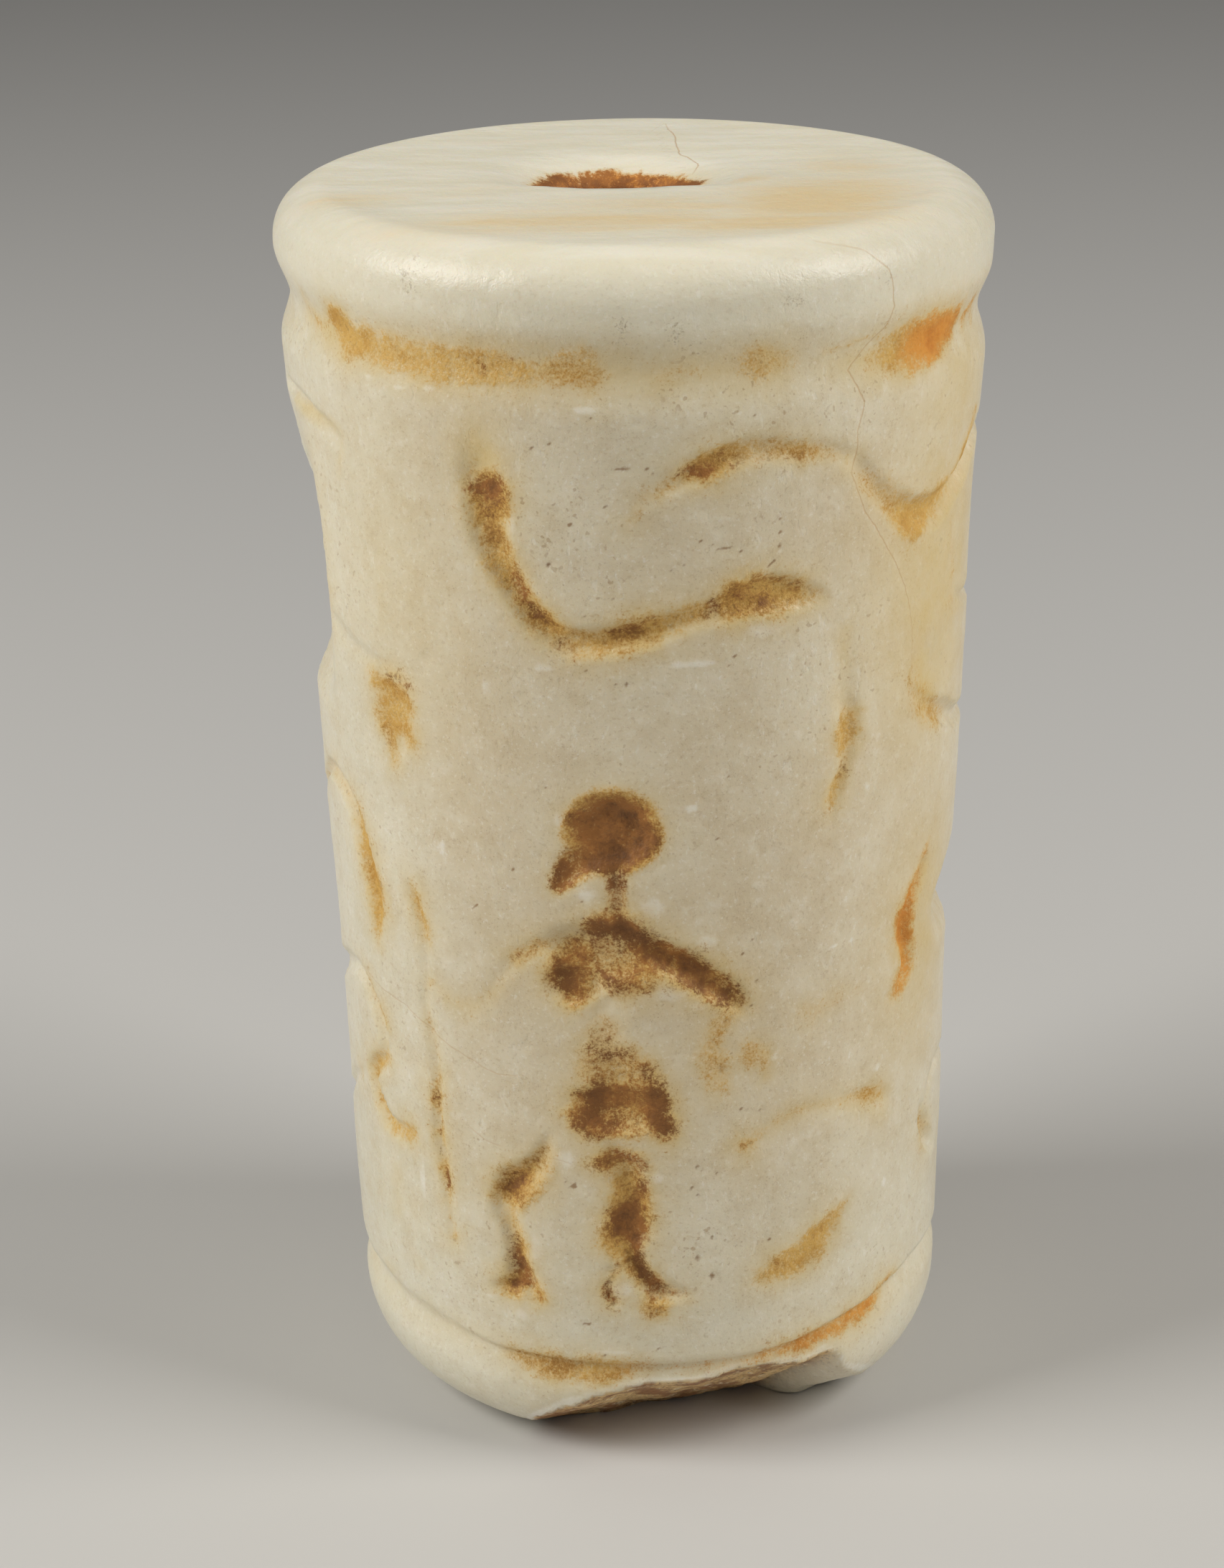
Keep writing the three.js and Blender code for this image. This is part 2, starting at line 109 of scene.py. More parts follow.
FRONT_STROKES = {
    "bent_body": [(-26, 28.1, 0.9, 0.04), (-25.0, 26.9, 1.2, 0.3), (-24, 25.7, 1.0, 0.34),
                  (-20.7, 24.6, 0.78, 0.38), (-15, 23.5, 0.78, 0.4), (-9, 23.2, 0.75, 0.36),
                  (1, 23.5, 0.7, 0.32), (9, 23.85, 0.6, 0.27), (16, 24.15, 0.85, 0.36),
                  (21, 24.25, 1.0, 0.42), (26, 24.1, 0.75, 0.3), (31, 23.95, 0.35, 0.04)],
    "arc": [(0, 26.8, 0.5, 0.03), (8, 27.45, 0.72, 0.3), (15, 27.78, 0.7, 0.27),
            (23, 27.75, 0.62, 0.2), (33, 27.4, 0.55, 0.15), (38, 26.7, 0.65, 0.2),
            (44, 25.8, 0.8, 0.28), (52, 25.3, 0.95, 0.38), (60, 25.3, 0.8, 0.33),
            (68, 25.7, 0.75, 0.33), (77, 26.3, 0.8, 0.28), (92, 26.6, 0.7, 0.15)],
    "short_post": [(34.5, 22.8, 0.8, 0.05), (35, 21.6, 0.8, 0.09), (36.2, 20.6, 0.75, 0.24),
                   (35.6, 19.6, 0.45, 0.18), (33.8, 18.8, 0.52, 0.18), (32.8, 18.1, 0.2, 0.03)],
    "right_line": [(53, 20.6, 0.5, 0.12), (59, 19.9, 0.7, 0.22), (66, 19.4, 0.7, 0.24),
                   (76, 18.95, 0.6, 0.18), (92, 18.7, 0.6, 0.16)],
    "right_notch": [(69, 22.5, 0.3, 0.06), (78, 22.1, 0.5, 0.13), (94, 21.9, 0.6, 0.14)],
    "right_hook": [(60, 15.7, 0.4, 0.13), (56.5, 15.0, 0.6, 0.3), (53.5, 14.2, 0.65, 0.32),
                   (55.0, 13.4, 0.6, 0.3), (55.5, 12.9, 0.65, 0.24), (52, 12.4, 0.5, 0.08)],
    "right_low_line": [(92, 8.6, 0.6, 0.12), (80, 9.0, 0.5, 0.12), (71, 9.1, 0.35, 0.1), (66, 8.4, 0.3, 0.05)],
    "right_leaf": [(63.5, 8.5, 0.3, 0.05), (65, 7.9, 0.6, 0.2), (68.5, 7.2, 0.65, 0.22), (73, 6.7, 0.45, 0.1)],
    "low_arc": [(15, 9.1, 0.4, 0.05), (22, 9.8, 0.6, 0.1), (30, 10.08, 0.6, 0.1),
                (38, 10.02, 0.6, 0.11), (46, 9.7, 0.7, 0.15), (53, 9.3, 0.5, 0.04)],
    "leaf": [(20.5, 5.55, 0.45, 0.06), (25.5, 5.7, 0.95, 0.15), (30, 6.0, 1.1, 0.16),
             (34, 6.4, 0.8, 0.2), (39, 7.0, 0.35, 0.05)],
    "neck": [(-5, 17.4, 0.6, 0.2), (-5, 16.2, 0.55, 0.15)],
    "beard": [(-8, 17.9, 1.0, 0.4), (-12, 17.4, 0.85, 0.32), (-15.2, 16.85, 0.45, 0.14)],
    "right_arm": [(-4, 15.65, 0.75, 0.36), (2, 15.0, 0.9, 0.5), (6.5, 14.6, 0.9, 0.52),
                  (11.0, 14.1, 0.8, 0.44), (15.2, 13.6, 0.66, 0.34), (17, 13.1, 0.3, 0.08)],
    "right_forearm": [(14.4, 13.2, 0.6, 0.1), (11.8, 12.5, 0.7, 0.08), (12.0, 11.5, 0.7, 0.05)],
    "left_arm": [(-12, 15.45, 0.55, 0.2), (-19, 15.1, 0.5, 0.15), (-24, 14.55, 0.45, 0.09),
                 (-30.4, 13.3, 0.6, 0.045), (-36, 13.05, 0.6, 0.045), (-43, 13.9, 0.4, 0.015)],
    "waist": [(-8, 13.6, 1.3, 0.2), (-7, 12.4, 0.95, 0.13), (-6, 11.5, 1.4, 0.24)],
    "left_leg": [(-18.5, 9.8, 0.35, 0.08), (-21.0, 9.0, 0.6, 0.28), (-25.5, 8.3, 0.95, 0.44),
                 (-27.8, 7.6, 0.8, 0.34), (-26.8, 6.9, 0.62, 0.26), (-25.6, 6.1, 0.66, 0.32),
                 (-24.6, 5.5, 0.82, 0.42), (-22, 5.05, 0.5, 0.18)],
    "left_foot": [(-24, 5.45, 0.7, 0.36), (-27.5, 5.2, 0.6, 0.34), (-31.5, 5.08, 0.25, 0.05)],
    "right_leg": [(-6, 9.3, 1.0, 0.24), (-4.6, 8.8, 1.1, 0.38), (-4.2, 8.1, 1.1, 0.44),
                  (-4.5, 7.3, 1.15, 0.48), (-5.0, 6.8, 0.85, 0.38), (-2.5, 6.15, 0.66, 0.38),
                  (0.3, 5.6, 0.75, 0.44), (4.5, 5.34, 0.4, 0.22), (7.5, 5.28, 0.2, 0.04)],
    "heel_scratch": [(-6.7, 6.2, 0.18, 0.1), (-8.6, 5.6, 0.22, 0.18), (-7.4, 5.22, 0.25, 0.2)],
    "staff": [(-46.0, 16.0, 0.25, 0.06), (-44.2, 15.5, 0.4, 0.2), (-42.4, 14.5, 0.28, 0.1),
              (-43.2, 12.8, 0.38, 0.13), (-41.6, 11.2, 0.38, 0.14), (-41.9, 9.8, 0.38, 0.21),
              (-41.0, 8.1, 0.34, 0.19), (-40.4, 7.0, 0.28, 0.1), (-39.6, 6.1, 0.3, 0.08)],
    "small_recess": [(-49.5, 21.45, 0.6, 0.1), (-46.4, 20.9, 1.3, 0.2), (-46.8, 20.2, 1.3, 0.2),
                     (-47.2, 19.3, 0.45, 0.08)],
    "recess_lip": [(-78, 27.9, 0.5, 0.16), (-66, 27.8, 0.5, 0.2), (-57, 27.4, 0.5, 0.18),
                   (-55.5, 26.7, 0.4, 0.04)],
    "recess_ledge": [(-68, 22.5, 0.5, 0.05), (-60, 22.1, 0.6, 0.13), (-53, 21.85, 0.6, 0.13), (-47, 21.8, 0.5, 0.08)],
    "left_loop": [(-92, 16.1, 0.6, 0.14), (-84, 16.9, 0.5, 0.13), (-76, 17.8, 0.46, 0.15),
                  (-68, 17.85, 0.6, 0.2), (-61.5, 17.2, 0.65, 0.24), (-58.0, 16.0, 0.72, 0.3),
                  (-56.0, 15.0, 0.66, 0.26), (-56.8, 13.9, 0.4, 0.08)],
    "left_hook": [(-94, 11.4, 0.9, 0.22), (-85, 11.7, 0.85, 0.22), (-75, 12.3, 0.65, 0.18),
                  (-66, 12.6, 0.5, 0.18), (-60.6, 12.1, 0.5, 0.2), (-57.0, 11.2, 0.5, 0.2),
                  (-58, 10.5, 0.6, 0.22), (-62.5, 9.85, 0.6, 0.25), (-60.6, 9.1, 0.55, 0.24),
                  (-56, 8.62, 0.6, 0.24), (-48.4, 8.78, 0.4, 0.08)],
    "left_low_line": [(-96, 7.3, 0.5, 0.1), (-84, 8.0, 0.5, 0.12), (-76, 8.9, 0.45, 0.1), (-69, 9.4, 0.35, 0.03)],
}

# The head is a plain round dish and the beard a short wedge. These, and the back
# with its standing figure, horned animal, plant, star and crescent, carry their
# own stain: amount, darkness and glow.
PLAIN_STAIN = {"neck": (0.62, 0.42, 0.6), "beard": (0.9, 0.52, 0.8), "left_loop": (0.3, 0.0, 0.5)}
BACK_STROKES = {
    "back_neck": ([(122, 17.3, 0.6, 0.2), (122, 16.0, 0.6, 0.22)], (0.6, 0.3, 0.7)),
    "back_torso": ([(122, 15.6, 1.6, 0.38), (122, 13.6, 1.2, 0.34), (122, 11.6, 0.9, 0.28)], (0.7, 0.35, 0.8)),
    "back_arm_a": ([(117, 15.5, 0.66, 0.36), (110, 14.8, 0.66, 0.34), (104, 16.0, 0.5, 0.22)], (0.75, 0.35, 0.8)),
    "back_arm_b": ([(127, 15.5, 0.66, 0.36), (134, 14.6, 0.66, 0.34), (139, 13.2, 0.5, 0.22)], (0.7, 0.25, 0.8)),
    "back_skirt": ([(121, 10.8, 1.6, 0.38), (121, 9.0, 2.0, 0.34), (121, 7.4, 2.1, 0.28)], (0.5, 0.2, 0.8)),
    "back_leg_a": ([(117, 7.2, 0.66, 0.3), (117, 5.5, 0.6, 0.32), (112, 5.1, 0.45, 0.18)], (0.75, 0.35, 0.7)),
    "back_leg_b": ([(127, 7.2, 0.66, 0.3), (127, 5.5, 0.6, 0.32), (122, 5.1, 0.45, 0.18)], (0.65, 0.25, 0.7)),
    "beast_body": ([(160, 12.6, 1.2, 0.42), (170, 12.2, 1.4, 0.46), (183, 12.4, 1.3, 0.44), (192, 12.7, 1.0, 0.32)], (0.72, 0.3, 0.9)),
    "beast_neck": ([(163, 13.0, 0.9, 0.4), (158, 14.8, 0.75, 0.38), (156, 16.0, 0.75, 0.4), (151, 16.0, 0.5, 0.26)], (0.8, 0.35, 0.8)),
    "beast_horn": ([(157, 16.4, 0.4, 0.24), (160, 18.6, 0.45, 0.28), (168, 19.9, 0.4, 0.22), (176, 19.2, 0.3, 0.08)], (0.7, 0.2, 0.8)),
    "beast_fore_leg_a": ([(161, 11.6, 0.62, 0.34), (158, 9.0, 0.5, 0.3), (160, 6.2, 0.42, 0.22)], (0.7, 0.25, 0.8)),
    "beast_fore_leg_b": ([(166, 11.6, 0.62, 0.3), (167, 9.0, 0.5, 0.28), (168, 6.2, 0.42, 0.2)], (0.6, 0.1, 0.8)),
    "beast_hind_leg_a": ([(188, 11.8, 0.86, 0.36), (192, 9.2, 0.55, 0.3), (188, 6.2, 0.45, 0.22)], (0.7, 0.3, 0.8)),
    "beast_hind_leg_b": ([(184, 11.6, 0.76, 0.3), (184, 9.0, 0.5, 0.26), (181, 6.2, 0.42, 0.2)], (0.6, 0.15, 0.8)),
    "beast_tail": ([(193, 12.8, 0.45, 0.24), (199, 12.0, 0.35, 0.2), (200, 10.4, 0.3, 0.08)], (0.6, 0.15, 0.7)),
    "plant_stem": ([(227, 5.4, 0.5, 0.22), (226, 10.0, 0.55, 0.28), (228, 15.0, 0.5, 0.26), (227, 19.0, 0.4, 0.1)], (0.65, 0.15, 0.8)),
    "star_a": ([(141, 25.0, 0.2, 0.04), (150, 25.0, 0.6, 0.36), (159, 25.0, 0.2, 0.04)], (0.8, 0.35, 0.8)),
    "star_b": ([(150, 23.6, 0.2, 0.04), (150, 25.0, 0.6, 0.36), (150, 26.4, 0.2, 0.04)], (0.8, 0.35, 0.8)),
    "star_c": ([(144, 24.1, 0.2, 0.04), (150, 25.0, 0.6, 0.36), (156, 25.9, 0.2, 0.04)], (0.7, 0.25, 0.6)),
    "star_d": ([(144, 25.9, 0.2, 0.04), (150, 25.0, 0.6, 0.36), (156, 24.1, 0.2, 0.04)], (0.7, 0.25, 0.6)),
    "crescent": ([(187, 26.6, 0.25, 0.06), (190, 24.9, 0.62, 0.34), (198, 24.1, 0.76, 0.4),
                  (206, 24.9, 0.62, 0.34), (209, 26.6, 0.25, 0.06)], (0.8, 0.25, 0.9)),
}
for i in range(4):
    z, reach = 8 + 2.7 * i, 9.5 - 1.2 * i
    for side, s in (("a", -1), ("b", 1)):
        BACK_STROKES[f"plant_leaf_{side}{i}"] = ([(226.5, z, 0.45, 0.24), (226.5 + s * 0.6 * reach, z + 1.3, 0.55, 0.28),
                                                 (226.5 + s * reach, z + 1.7, 0.3, 0.06)], (0.6, 0.12, 0.8))
STROKES = {name: (points, PLAIN_STAIN.get(name, (0.0, 0.0, 0.0))) for name, points in FRONT_STROKES.items()}
STROKES.update(BACK_STROKES)

# oval hollows: centre, half sizes, depth, tilt, softness, stain
HOLLOWS = {
    "head": ((-5.4, 18.35), (1.24, 1.18), 0.5, 0, 0.6, (1.0, 0.66, 0.9)),
    "shoulders": ((-8.5, 15.05), (1.55, 0.86), 0.42, -12, 0.5, (0.0, 0.0, 0.4)),
    "chest": ((-12.5, 14.15), (1.0, 0.72), 0.4, 0, 0.5, (0.0, 0.0, 0.4)),
    "hips": ((-5.8, 10.72), (1.5, 0.86), 0.34, 0, 0.7, (0.0, 0.0, 0.4)),
    "right_recess": ((98, 14.15), (5.4, 1.75), 0.56, 4, 0.55, (0.0, 0.0, 0.2)),
    "right_shallow": ((60, 21.0), (1.5, 1.6), 0.1, 0, 0.8, (0.0, 0.0, 0.4)),
    "back_head": ((122, 18.3), (1.05, 1.05), 0.5, 0, 0.55, (0.85, 0.5, 0.9)),
}

# Where dirt has stained the stone: runs of (angle, z, width, density).
STAINS = {
    "shoulders": [(-9.4, 15.63, 0.74, 0.80), (-5.5, 15.83, 0.92, 0.95), (-2.1, 15.53, 0.74, 0.95)],
    "chest_left": [(-12.6, 14.97, 1.04, 0.85), (-13.5, 14.46, 1.35, 0.90), (-12.8, 13.96, 1.04, 0.85)],
    "chest_mid": [(-7.6, 15.2, 1.1, 0.62), (-7.6, 14.5, 1.0, 0.6), (-4.6, 14.4, 1.2, 0.66),
        (-1.2, 14.5, 1.0, 0.8)],
    "right_arm": [(-2.2, 15.15, 0.67, 0.95), (2.0, 14.95, 0.92, 1.00), (6.2, 14.61, 0.92, 1.00),
        (10.1, 14.18, 0.80, 0.95), (13.7, 13.80, 0.74, 0.90), (15.8, 13.57, 0.49, 0.80)],
    "left_arm": [(-12.5, 15.41, 0.37, 0.50), (-16.5, 15.33, 0.28, 0.50), (-19.0, 15.13, 0.37, 0.72),
        (-21.5, 14.82, 0.28, 0.70), (-23.3, 14.66, 0.28, 0.70)],
    "left_v": [(-24.2, 14.51, 0.25, 0.25), (-27.0, 13.74, 0.25, 0.20), (-30.4, 13.32, 0.31, 0.25),
        (-34.8, 13.07, 0.37, 0.30), (-36.8, 13.09, 0.25, 0.20)],
    "forearm": [(14.6, 13.28, 0.5, 0.55), (12.7, 13.0, 0.6, 0.48), (11.1, 12.5, 0.7, 0.46),
        (11.6, 11.92, 0.75, 0.46), (12.2, 11.3, 0.7, 0.42)],
    "neck": [(-5.0, 16.95, 0.37, 0.60), (-4.6, 16.64, 0.37, 0.42), (-4.5, 16.33, 0.37, 0.40)],
    "hips": [(-11.8, 10.95, 0.67, 0.85), (-8.6, 10.98, 0.92, 1.00), (-4.6, 11.00, 1.04, 1.00),
        (-0.6, 10.94, 1.04, 1.00), (1.3, 10.48, 0.80, 0.95), (2.5, 10.01, 0.49, 0.85)],
    "hips_low": [(-12.3, 10.42, 0.92, 0.85), (-9.5, 10.32, 0.98, 0.80), (-6.3, 10.28, 0.80, 0.75),
        (-1.5, 10.16, 0.67, 0.58)],
    "waist": [(-7.5, 12.9, 0.8, 0.4), (-8.6, 12.27, 1.2, 0.48), (-7.4, 11.89, 1.6, 0.54),
        (-5.3, 11.55, 2.0, 0.6), (-4.5, 11.3, 2.2, 0.62)],
    "leg_cap": [(-9.3, 9.21, 0.43, 0.80), (-7.3, 9.29, 0.67, 0.90), (-4.0, 9.31, 0.55, 0.90),
        (-2.0, 9.11, 0.31, 0.90)],
    "leg": [(-5.7, 8.90, 0.92, 0.55), (-4.1, 8.44, 1.04, 0.80), (-4.2, 7.91, 1.04, 0.95), (-4.7, 7.38, 1.17, 1.00),
        (-5.6, 6.97, 1.10, 0.95), (-4.4, 6.50, 0.67, 0.90), (-2.4, 6.10, 0.55, 0.90), (-0.3, 5.69, 0.49, 0.95),
        (2.1, 5.47, 0.37, 0.80), (5.5, 5.31, 0.18, 0.70), (7.6, 5.28, 0.12, 0.30)],
    "foot": [(-0.4, 5.21, 0.67, 0.75), (0.9, 5.07, 0.86, 0.70), (-0.4, 4.80, 0.67, 0.40), (-1.7, 4.46, 0.37, 0.25)],
    "heel": [(-6.7, 6.22, 0.15, 0.80), (-7.8, 5.80, 0.13, 0.80), (-8.7, 5.59, 0.18, 1.00),
        (-8.1, 5.32, 0.28, 1.00), (-7.3, 5.23, 0.21, 1.00)],
    "thigh": [(-19.2, 9.71, 0.37, 0.30), (-18.8, 9.46, 0.37, 0.45), (-20.7, 9.02, 0.43, 0.70),
        (-23.5, 8.62, 0.61, 0.90), (-26.4, 8.13, 0.80, 0.95), (-28.3, 7.86, 0.49, 0.85)],
    "knee": [(-25.5, 7.9, 0.9, 0.70), (-22.4, 8.15, 0.8, 0.62), (-19.6, 8.7, 0.6, 0.5), (-17.6, 9.3, 0.5, 0.34)],
    "shank": [(-27.0, 7.50, 0.55, 0.60), (-26.7, 7.11, 0.55, 0.60), (-25.9, 6.66, 0.55, 0.65),
        (-25.2, 6.21, 0.55, 0.80), (-24.6, 5.75, 0.49, 0.95), (-25.5, 5.38, 0.74, 1.00), (-27.9, 5.16, 0.55, 0.95),
        (-30.1, 5.11, 0.18, 0.60)],
    "toe": [(-22.4, 5.40, 0.37, 0.80), (-21.7, 5.01, 0.37, 0.90)],
    "bent": [(-24.0, 27.14, 0.63, 0.50), (-24.3, 26.85, 1.10, 0.95), (-24.4, 26.48, 0.98, 0.95),
        (-23.9, 25.99, 0.75, 0.80), (-23.3, 25.49, 0.78, 0.72), (-22.5, 24.99, 0.94, 0.70),
        (-20.2, 24.51, 0.63, 0.85), (-17.7, 23.96, 0.55, 0.85), (-15.4, 23.62, 0.63, 0.85),
        (-12.6, 23.35, 0.71, 0.60), (-10.3, 23.21, 0.78, 0.60), (-7.1, 23.16, 0.71, 0.65),
        (-3.9, 23.35, 0.63, 0.85), (-0.2, 23.56, 0.63, 0.90), (3.4, 23.66, 0.63, 0.90), (6.6, 23.82, 0.55, 0.70),
        (9.3, 23.94, 0.55, 0.75), (12.1, 24.05, 0.47, 0.70), (14.9, 24.12, 0.86, 0.95), (17.8, 24.22, 0.94, 1.00),
        (21.2, 24.22, 0.94, 0.90), (24.8, 24.18, 0.86, 0.75), (28.4, 24.08, 0.47, 0.45), (30.6, 23.99, 0.31, 0.20)],
    "arc": [(5.6, 27.37, 0.24, 0.60), (7.1, 27.39, 0.47, 0.90), (9.4, 27.51, 0.63, 0.95),
        (12.1, 27.59, 0.71, 0.88), (14.3, 27.74, 0.71, 0.60), (17.1, 27.80, 0.71, 0.50), (20.4, 27.82, 0.63, 0.50),
        (24.3, 27.74, 0.55, 0.60), (28.3, 27.61, 0.39, 0.50), (33.8, 27.37, 0.24, 0.35)],
    "arc_tail": [(4.9, 27.20, 0.47, 0.45), (3.2, 26.99, 0.39, 0.40), (0.9, 26.90, 0.39, 0.30),
        (-0.4, 26.58, 0.31, 0.30), (-1.8, 26.22, 0.24, 0.40)],
    "v_right": [(37.4, 26.6, 0.6, 0.3), (41.5, 26.25, 0.75, 0.42), (45.0, 25.80, 0.8, 0.5),
        (48.7, 25.38, 1.0, 0.68), (51.4, 25.16, 1.15, 0.8), (55.2, 25.3, 0.95, 0.8), (59.3, 25.5, 0.75, 0.8),
        (64.4, 25.75, 0.6, 0.82), (68.0, 26.1, 0.5, 0.85), (71.5, 26.6, 0.4, 0.8), (74, 27.1, 0.3, 0.6)],
    "right_lens": [(53.2, 21.9, 0.5, 0.26), (53.6, 21.0, 0.8, 0.32), (55.5, 20.3, 1.1, 0.36), (59.5, 19.7, 0.9, 0.5), (63, 19.5, 0.6, 0.6)],
    "right_edge": [(64, 24.6, 0.4, 0.3), (66, 23.4, 0.5, 0.35), (66, 22.2, 0.5, 0.3)],
    "v_dark": [(34.5, 27.15, 0.07, 0.80)],
    "side_tick": [(66.3, 22.65, 0.08, 0.50), (66.2, 22.40, 0.13, 0.60)],
    "post": [(35.9, 20.70, 0.53, 0.60), (35.8, 20.29, 0.66, 0.75), (35.4, 19.98, 0.60, 0.70),
        (35.4, 19.65, 0.26, 0.60), (35.4, 19.22, 0.20, 0.70), (34.3, 18.97, 0.46, 0.65), (33.4, 18.67, 0.46, 0.70),
        (32.8, 18.39, 0.20, 0.60)],
    "post_dark": [(34.1, 20.73, 0.08, 0.60), (38.1, 20.72, 0.08, 0.80)],
    "right_spot": [(51.5, 21.22, 0.13, 0.60), (51.6, 20.95, 0.20, 0.70), (51.2, 20.77, 0.10, 0.60)],
    "right_line": [(57.7, 19.68, 0.40, 0.50), (60.6, 19.64, 0.53, 0.62), (67.4, 19.32, 0.20, 0.45)],
    "hook": [(61, 16.1, 0.3, 0.6), (58.8, 15.6, 0.4, 0.75), (56.3, 15.14, 0.6, 0.88), (54.4, 14.69, 0.8, 0.9),
        (53.3, 14.33, 0.9, 0.84), (53.6, 13.97, 0.8, 0.8), (54.6, 13.56, 0.8, 0.8), (55.4, 13.03, 0.8, 0.78),
        (53.9, 12.69, 0.8, 0.7), (52.4, 12.50, 0.6, 0.60), (50.5, 12.39, 0.4, 0.40)],
    "right_haze": [(29.3, 12.81, 0.66, 0.30), (33.4, 12.92, 0.53, 0.28), (37.8, 13.01, 0.40, 0.22),
        (45.2, 12.91, 0.33, 0.15)],
    "belly_patch": [(18.2, 11.98, 0.88, 0.45), (20.3, 11.79, 0.53, 0.42), (21.0, 11.30, 0.26, 0.35)],
    "low_arc": [(17.1, 9.43, 0.26, 0.80), (19.0, 9.52, 0.35, 0.50), (21.8, 9.82, 0.22, 0.40),
        (24.0, 9.94, 0.22, 0.42), (27.3, 10.15, 0.26, 0.42), (31.8, 10.12, 0.24, 0.34), (36.3, 10.07, 0.3, 0.42),
        (39.8, 10.00, 0.40, 0.42), (44.1, 9.83, 0.49, 0.52), (47.9, 9.67, 0.35, 0.62)],
    "right_leaf": [(64.5, 8.21, 0.18, 0.40), (65.5, 7.70, 0.26, 0.75), (67.0, 7.25, 0.26, 0.80),
        (67.4, 6.87, 0.13, 0.50)],
    "leaf": [(20.9, 5.62, 0.4, 0.72), (23.9, 5.69, 0.75, 0.74), (26.7, 5.80, 0.95, 0.76),
        (30.2, 6.05, 0.95, 0.74), (33.0, 6.37, 0.8, 0.74), (35.8, 6.66, 0.55, 0.66), (38.2, 7.0, 0.3, 0.45)],
    "low_groove_r": [(54.1, 3.97, 0.09, 0.70), (51.3, 3.90, 0.13, 0.80), (48.6, 3.82, 0.22, 0.80)],
    "groove_far_l": [(-66.2, 30.33, 0.47, 0.40), (-62.8, 30.12, 0.29, 0.50), (-60.5, 29.98, 0.18, 0.50)],
    "groove_l": [(-55.6, 30.35, 0.6, 0.80), (-52.8, 30.16, 0.95, 0.88), (-50.1, 29.9, 0.8, 0.8),
        (-46.7, 30.00, 0.9, 0.62), (-42.9, 29.93, 1.0, 0.6), (-37.5, 29.86, 1.0, 0.6),
        (-33.4, 29.84, 1.05, 0.6), (-29.4, 29.84, 1.0, 0.6), (-25.7, 29.84, 0.95, 0.62),
        (-22.1, 29.83, 0.9, 0.64), (-19.3, 29.8, 0.8, 0.66), (-16.9, 29.78, 0.7, 0.58)],
    "groove_low": [(-46, 29.66, 0.3, 0.78), (-37, 29.56, 0.3, 0.8), (-28, 29.55, 0.3, 0.8), (-20, 29.56, 0.28, 0.82)],
    "recess": [(-50.0, 21.2, 0.6, 0.75), (-45.6, 21.1, 0.9, 0.72), (-46.4, 20.65, 1.1, 0.7),
        (-48.8, 20.29, 0.7, 0.7), (-43.9, 20.3, 0.6, 0.7), (-42.8, 19.8, 0.25, 0.65)],
    "recess_b": [(-46.4, 20.65, 0.81, 0.55), (-47.5, 19.86, 0.49, 0.65), (-47.3, 19.38, 0.32, 0.60),
        (-47.0, 19.18, 0.16, 0.50)],
    "recess_dark": [(-47.3, 21.66, 0.11, 0.80), (-44.3, 21.66, 0.16, 0.80), (-42.1, 21.45, 0.16, 0.70)],
    "loop": [(-69.7, 18.28, 0.08, 0.40), (-66.0, 17.86, 0.32, 0.50), (-62.5, 17.71, 0.27, 0.60),
        (-60.8, 17.46, 0.4, 0.66), (-59.8, 16.95, 0.55, 0.85), (-58.5, 16.46, 0.66, 0.92),
        (-57.2, 15.97, 0.68, 0.92), (-56.3, 15.45, 0.68, 0.95), (-55.8, 14.97, 0.66, 0.92),
        (-55.9, 14.51, 0.5, 0.8), (-56.6, 14.13, 0.3, 0.6)],
    "staff_top": [(-45.1, 15.98, 0.28, 0.40), (-44.2, 15.73, 0.36, 0.75), (-43.5, 15.38, 0.42, 0.72),
        (-42.5, 14.97, 0.42, 0.66), (-41.8, 14.55, 0.25, 0.42)],
    "hook_left": [(-62.6, 12.65, 0.12, 0.60), (-61.0, 12.41, 0.15, 0.60), (-60.5, 12.05, 0.15, 0.50),
        (-57.7, 11.81, 0.25, 0.75), (-56.7, 11.53, 0.18, 0.80)],
    "hook_left_b": [(-56.0, 10.64, 0.25, 0.60), (-58.7, 10.45, 0.37, 0.75), (-61.5, 10.05, 0.34, 0.80),
        (-62.8, 9.77, 0.21, 0.80), (-61.7, 9.50, 0.25, 0.70), (-60.7, 9.09, 0.28, 0.70), (-58.2, 8.83, 0.31, 0.70),
        (-56.3, 8.60, 0.37, 0.75), (-52.4, 8.63, 0.43, 0.75), (-49.1, 8.81, 0.31, 0.80), (-47.9, 8.74, 0.12, 0.70)],
    "staff": [(-42.0, 13.50, 0.15, 0.50), (-43.5, 12.99, 0.18, 0.20), (-42.8, 12.24, 0.37, 0.28),
        (-41.1, 11.27, 0.18, 0.36), (-42.1, 10.50, 0.15, 0.70), (-42.1, 10.03, 0.28, 0.80),
        (-41.3, 9.47, 0.15, 0.60), (-41.5, 9.13, 0.21, 0.85), (-40.8, 8.96, 0.15, 0.85), (-40.4, 8.64, 0.07, 0.50),
        (-41.1, 8.34, 0.18, 0.90), (-41.0, 8.01, 0.25, 0.90), (-40.4, 7.70, 0.18, 0.95), (-40.5, 7.02, 0.09, 0.50),
        (-39.9, 6.43, 0.18, 0.50), (-39.5, 6.17, 0.18, 0.70), (-39.3, 6.05, 0.09, 0.40)],
    "edge_l": [(-70.7, 9.54, 0.15, 0.40), (-69.4, 9.42, 0.15, 0.50)],
    "band_spot": [(-61.7, 3.75, 0.18, 0.50), (-61.1, 3.44, 0.18, 0.40)],
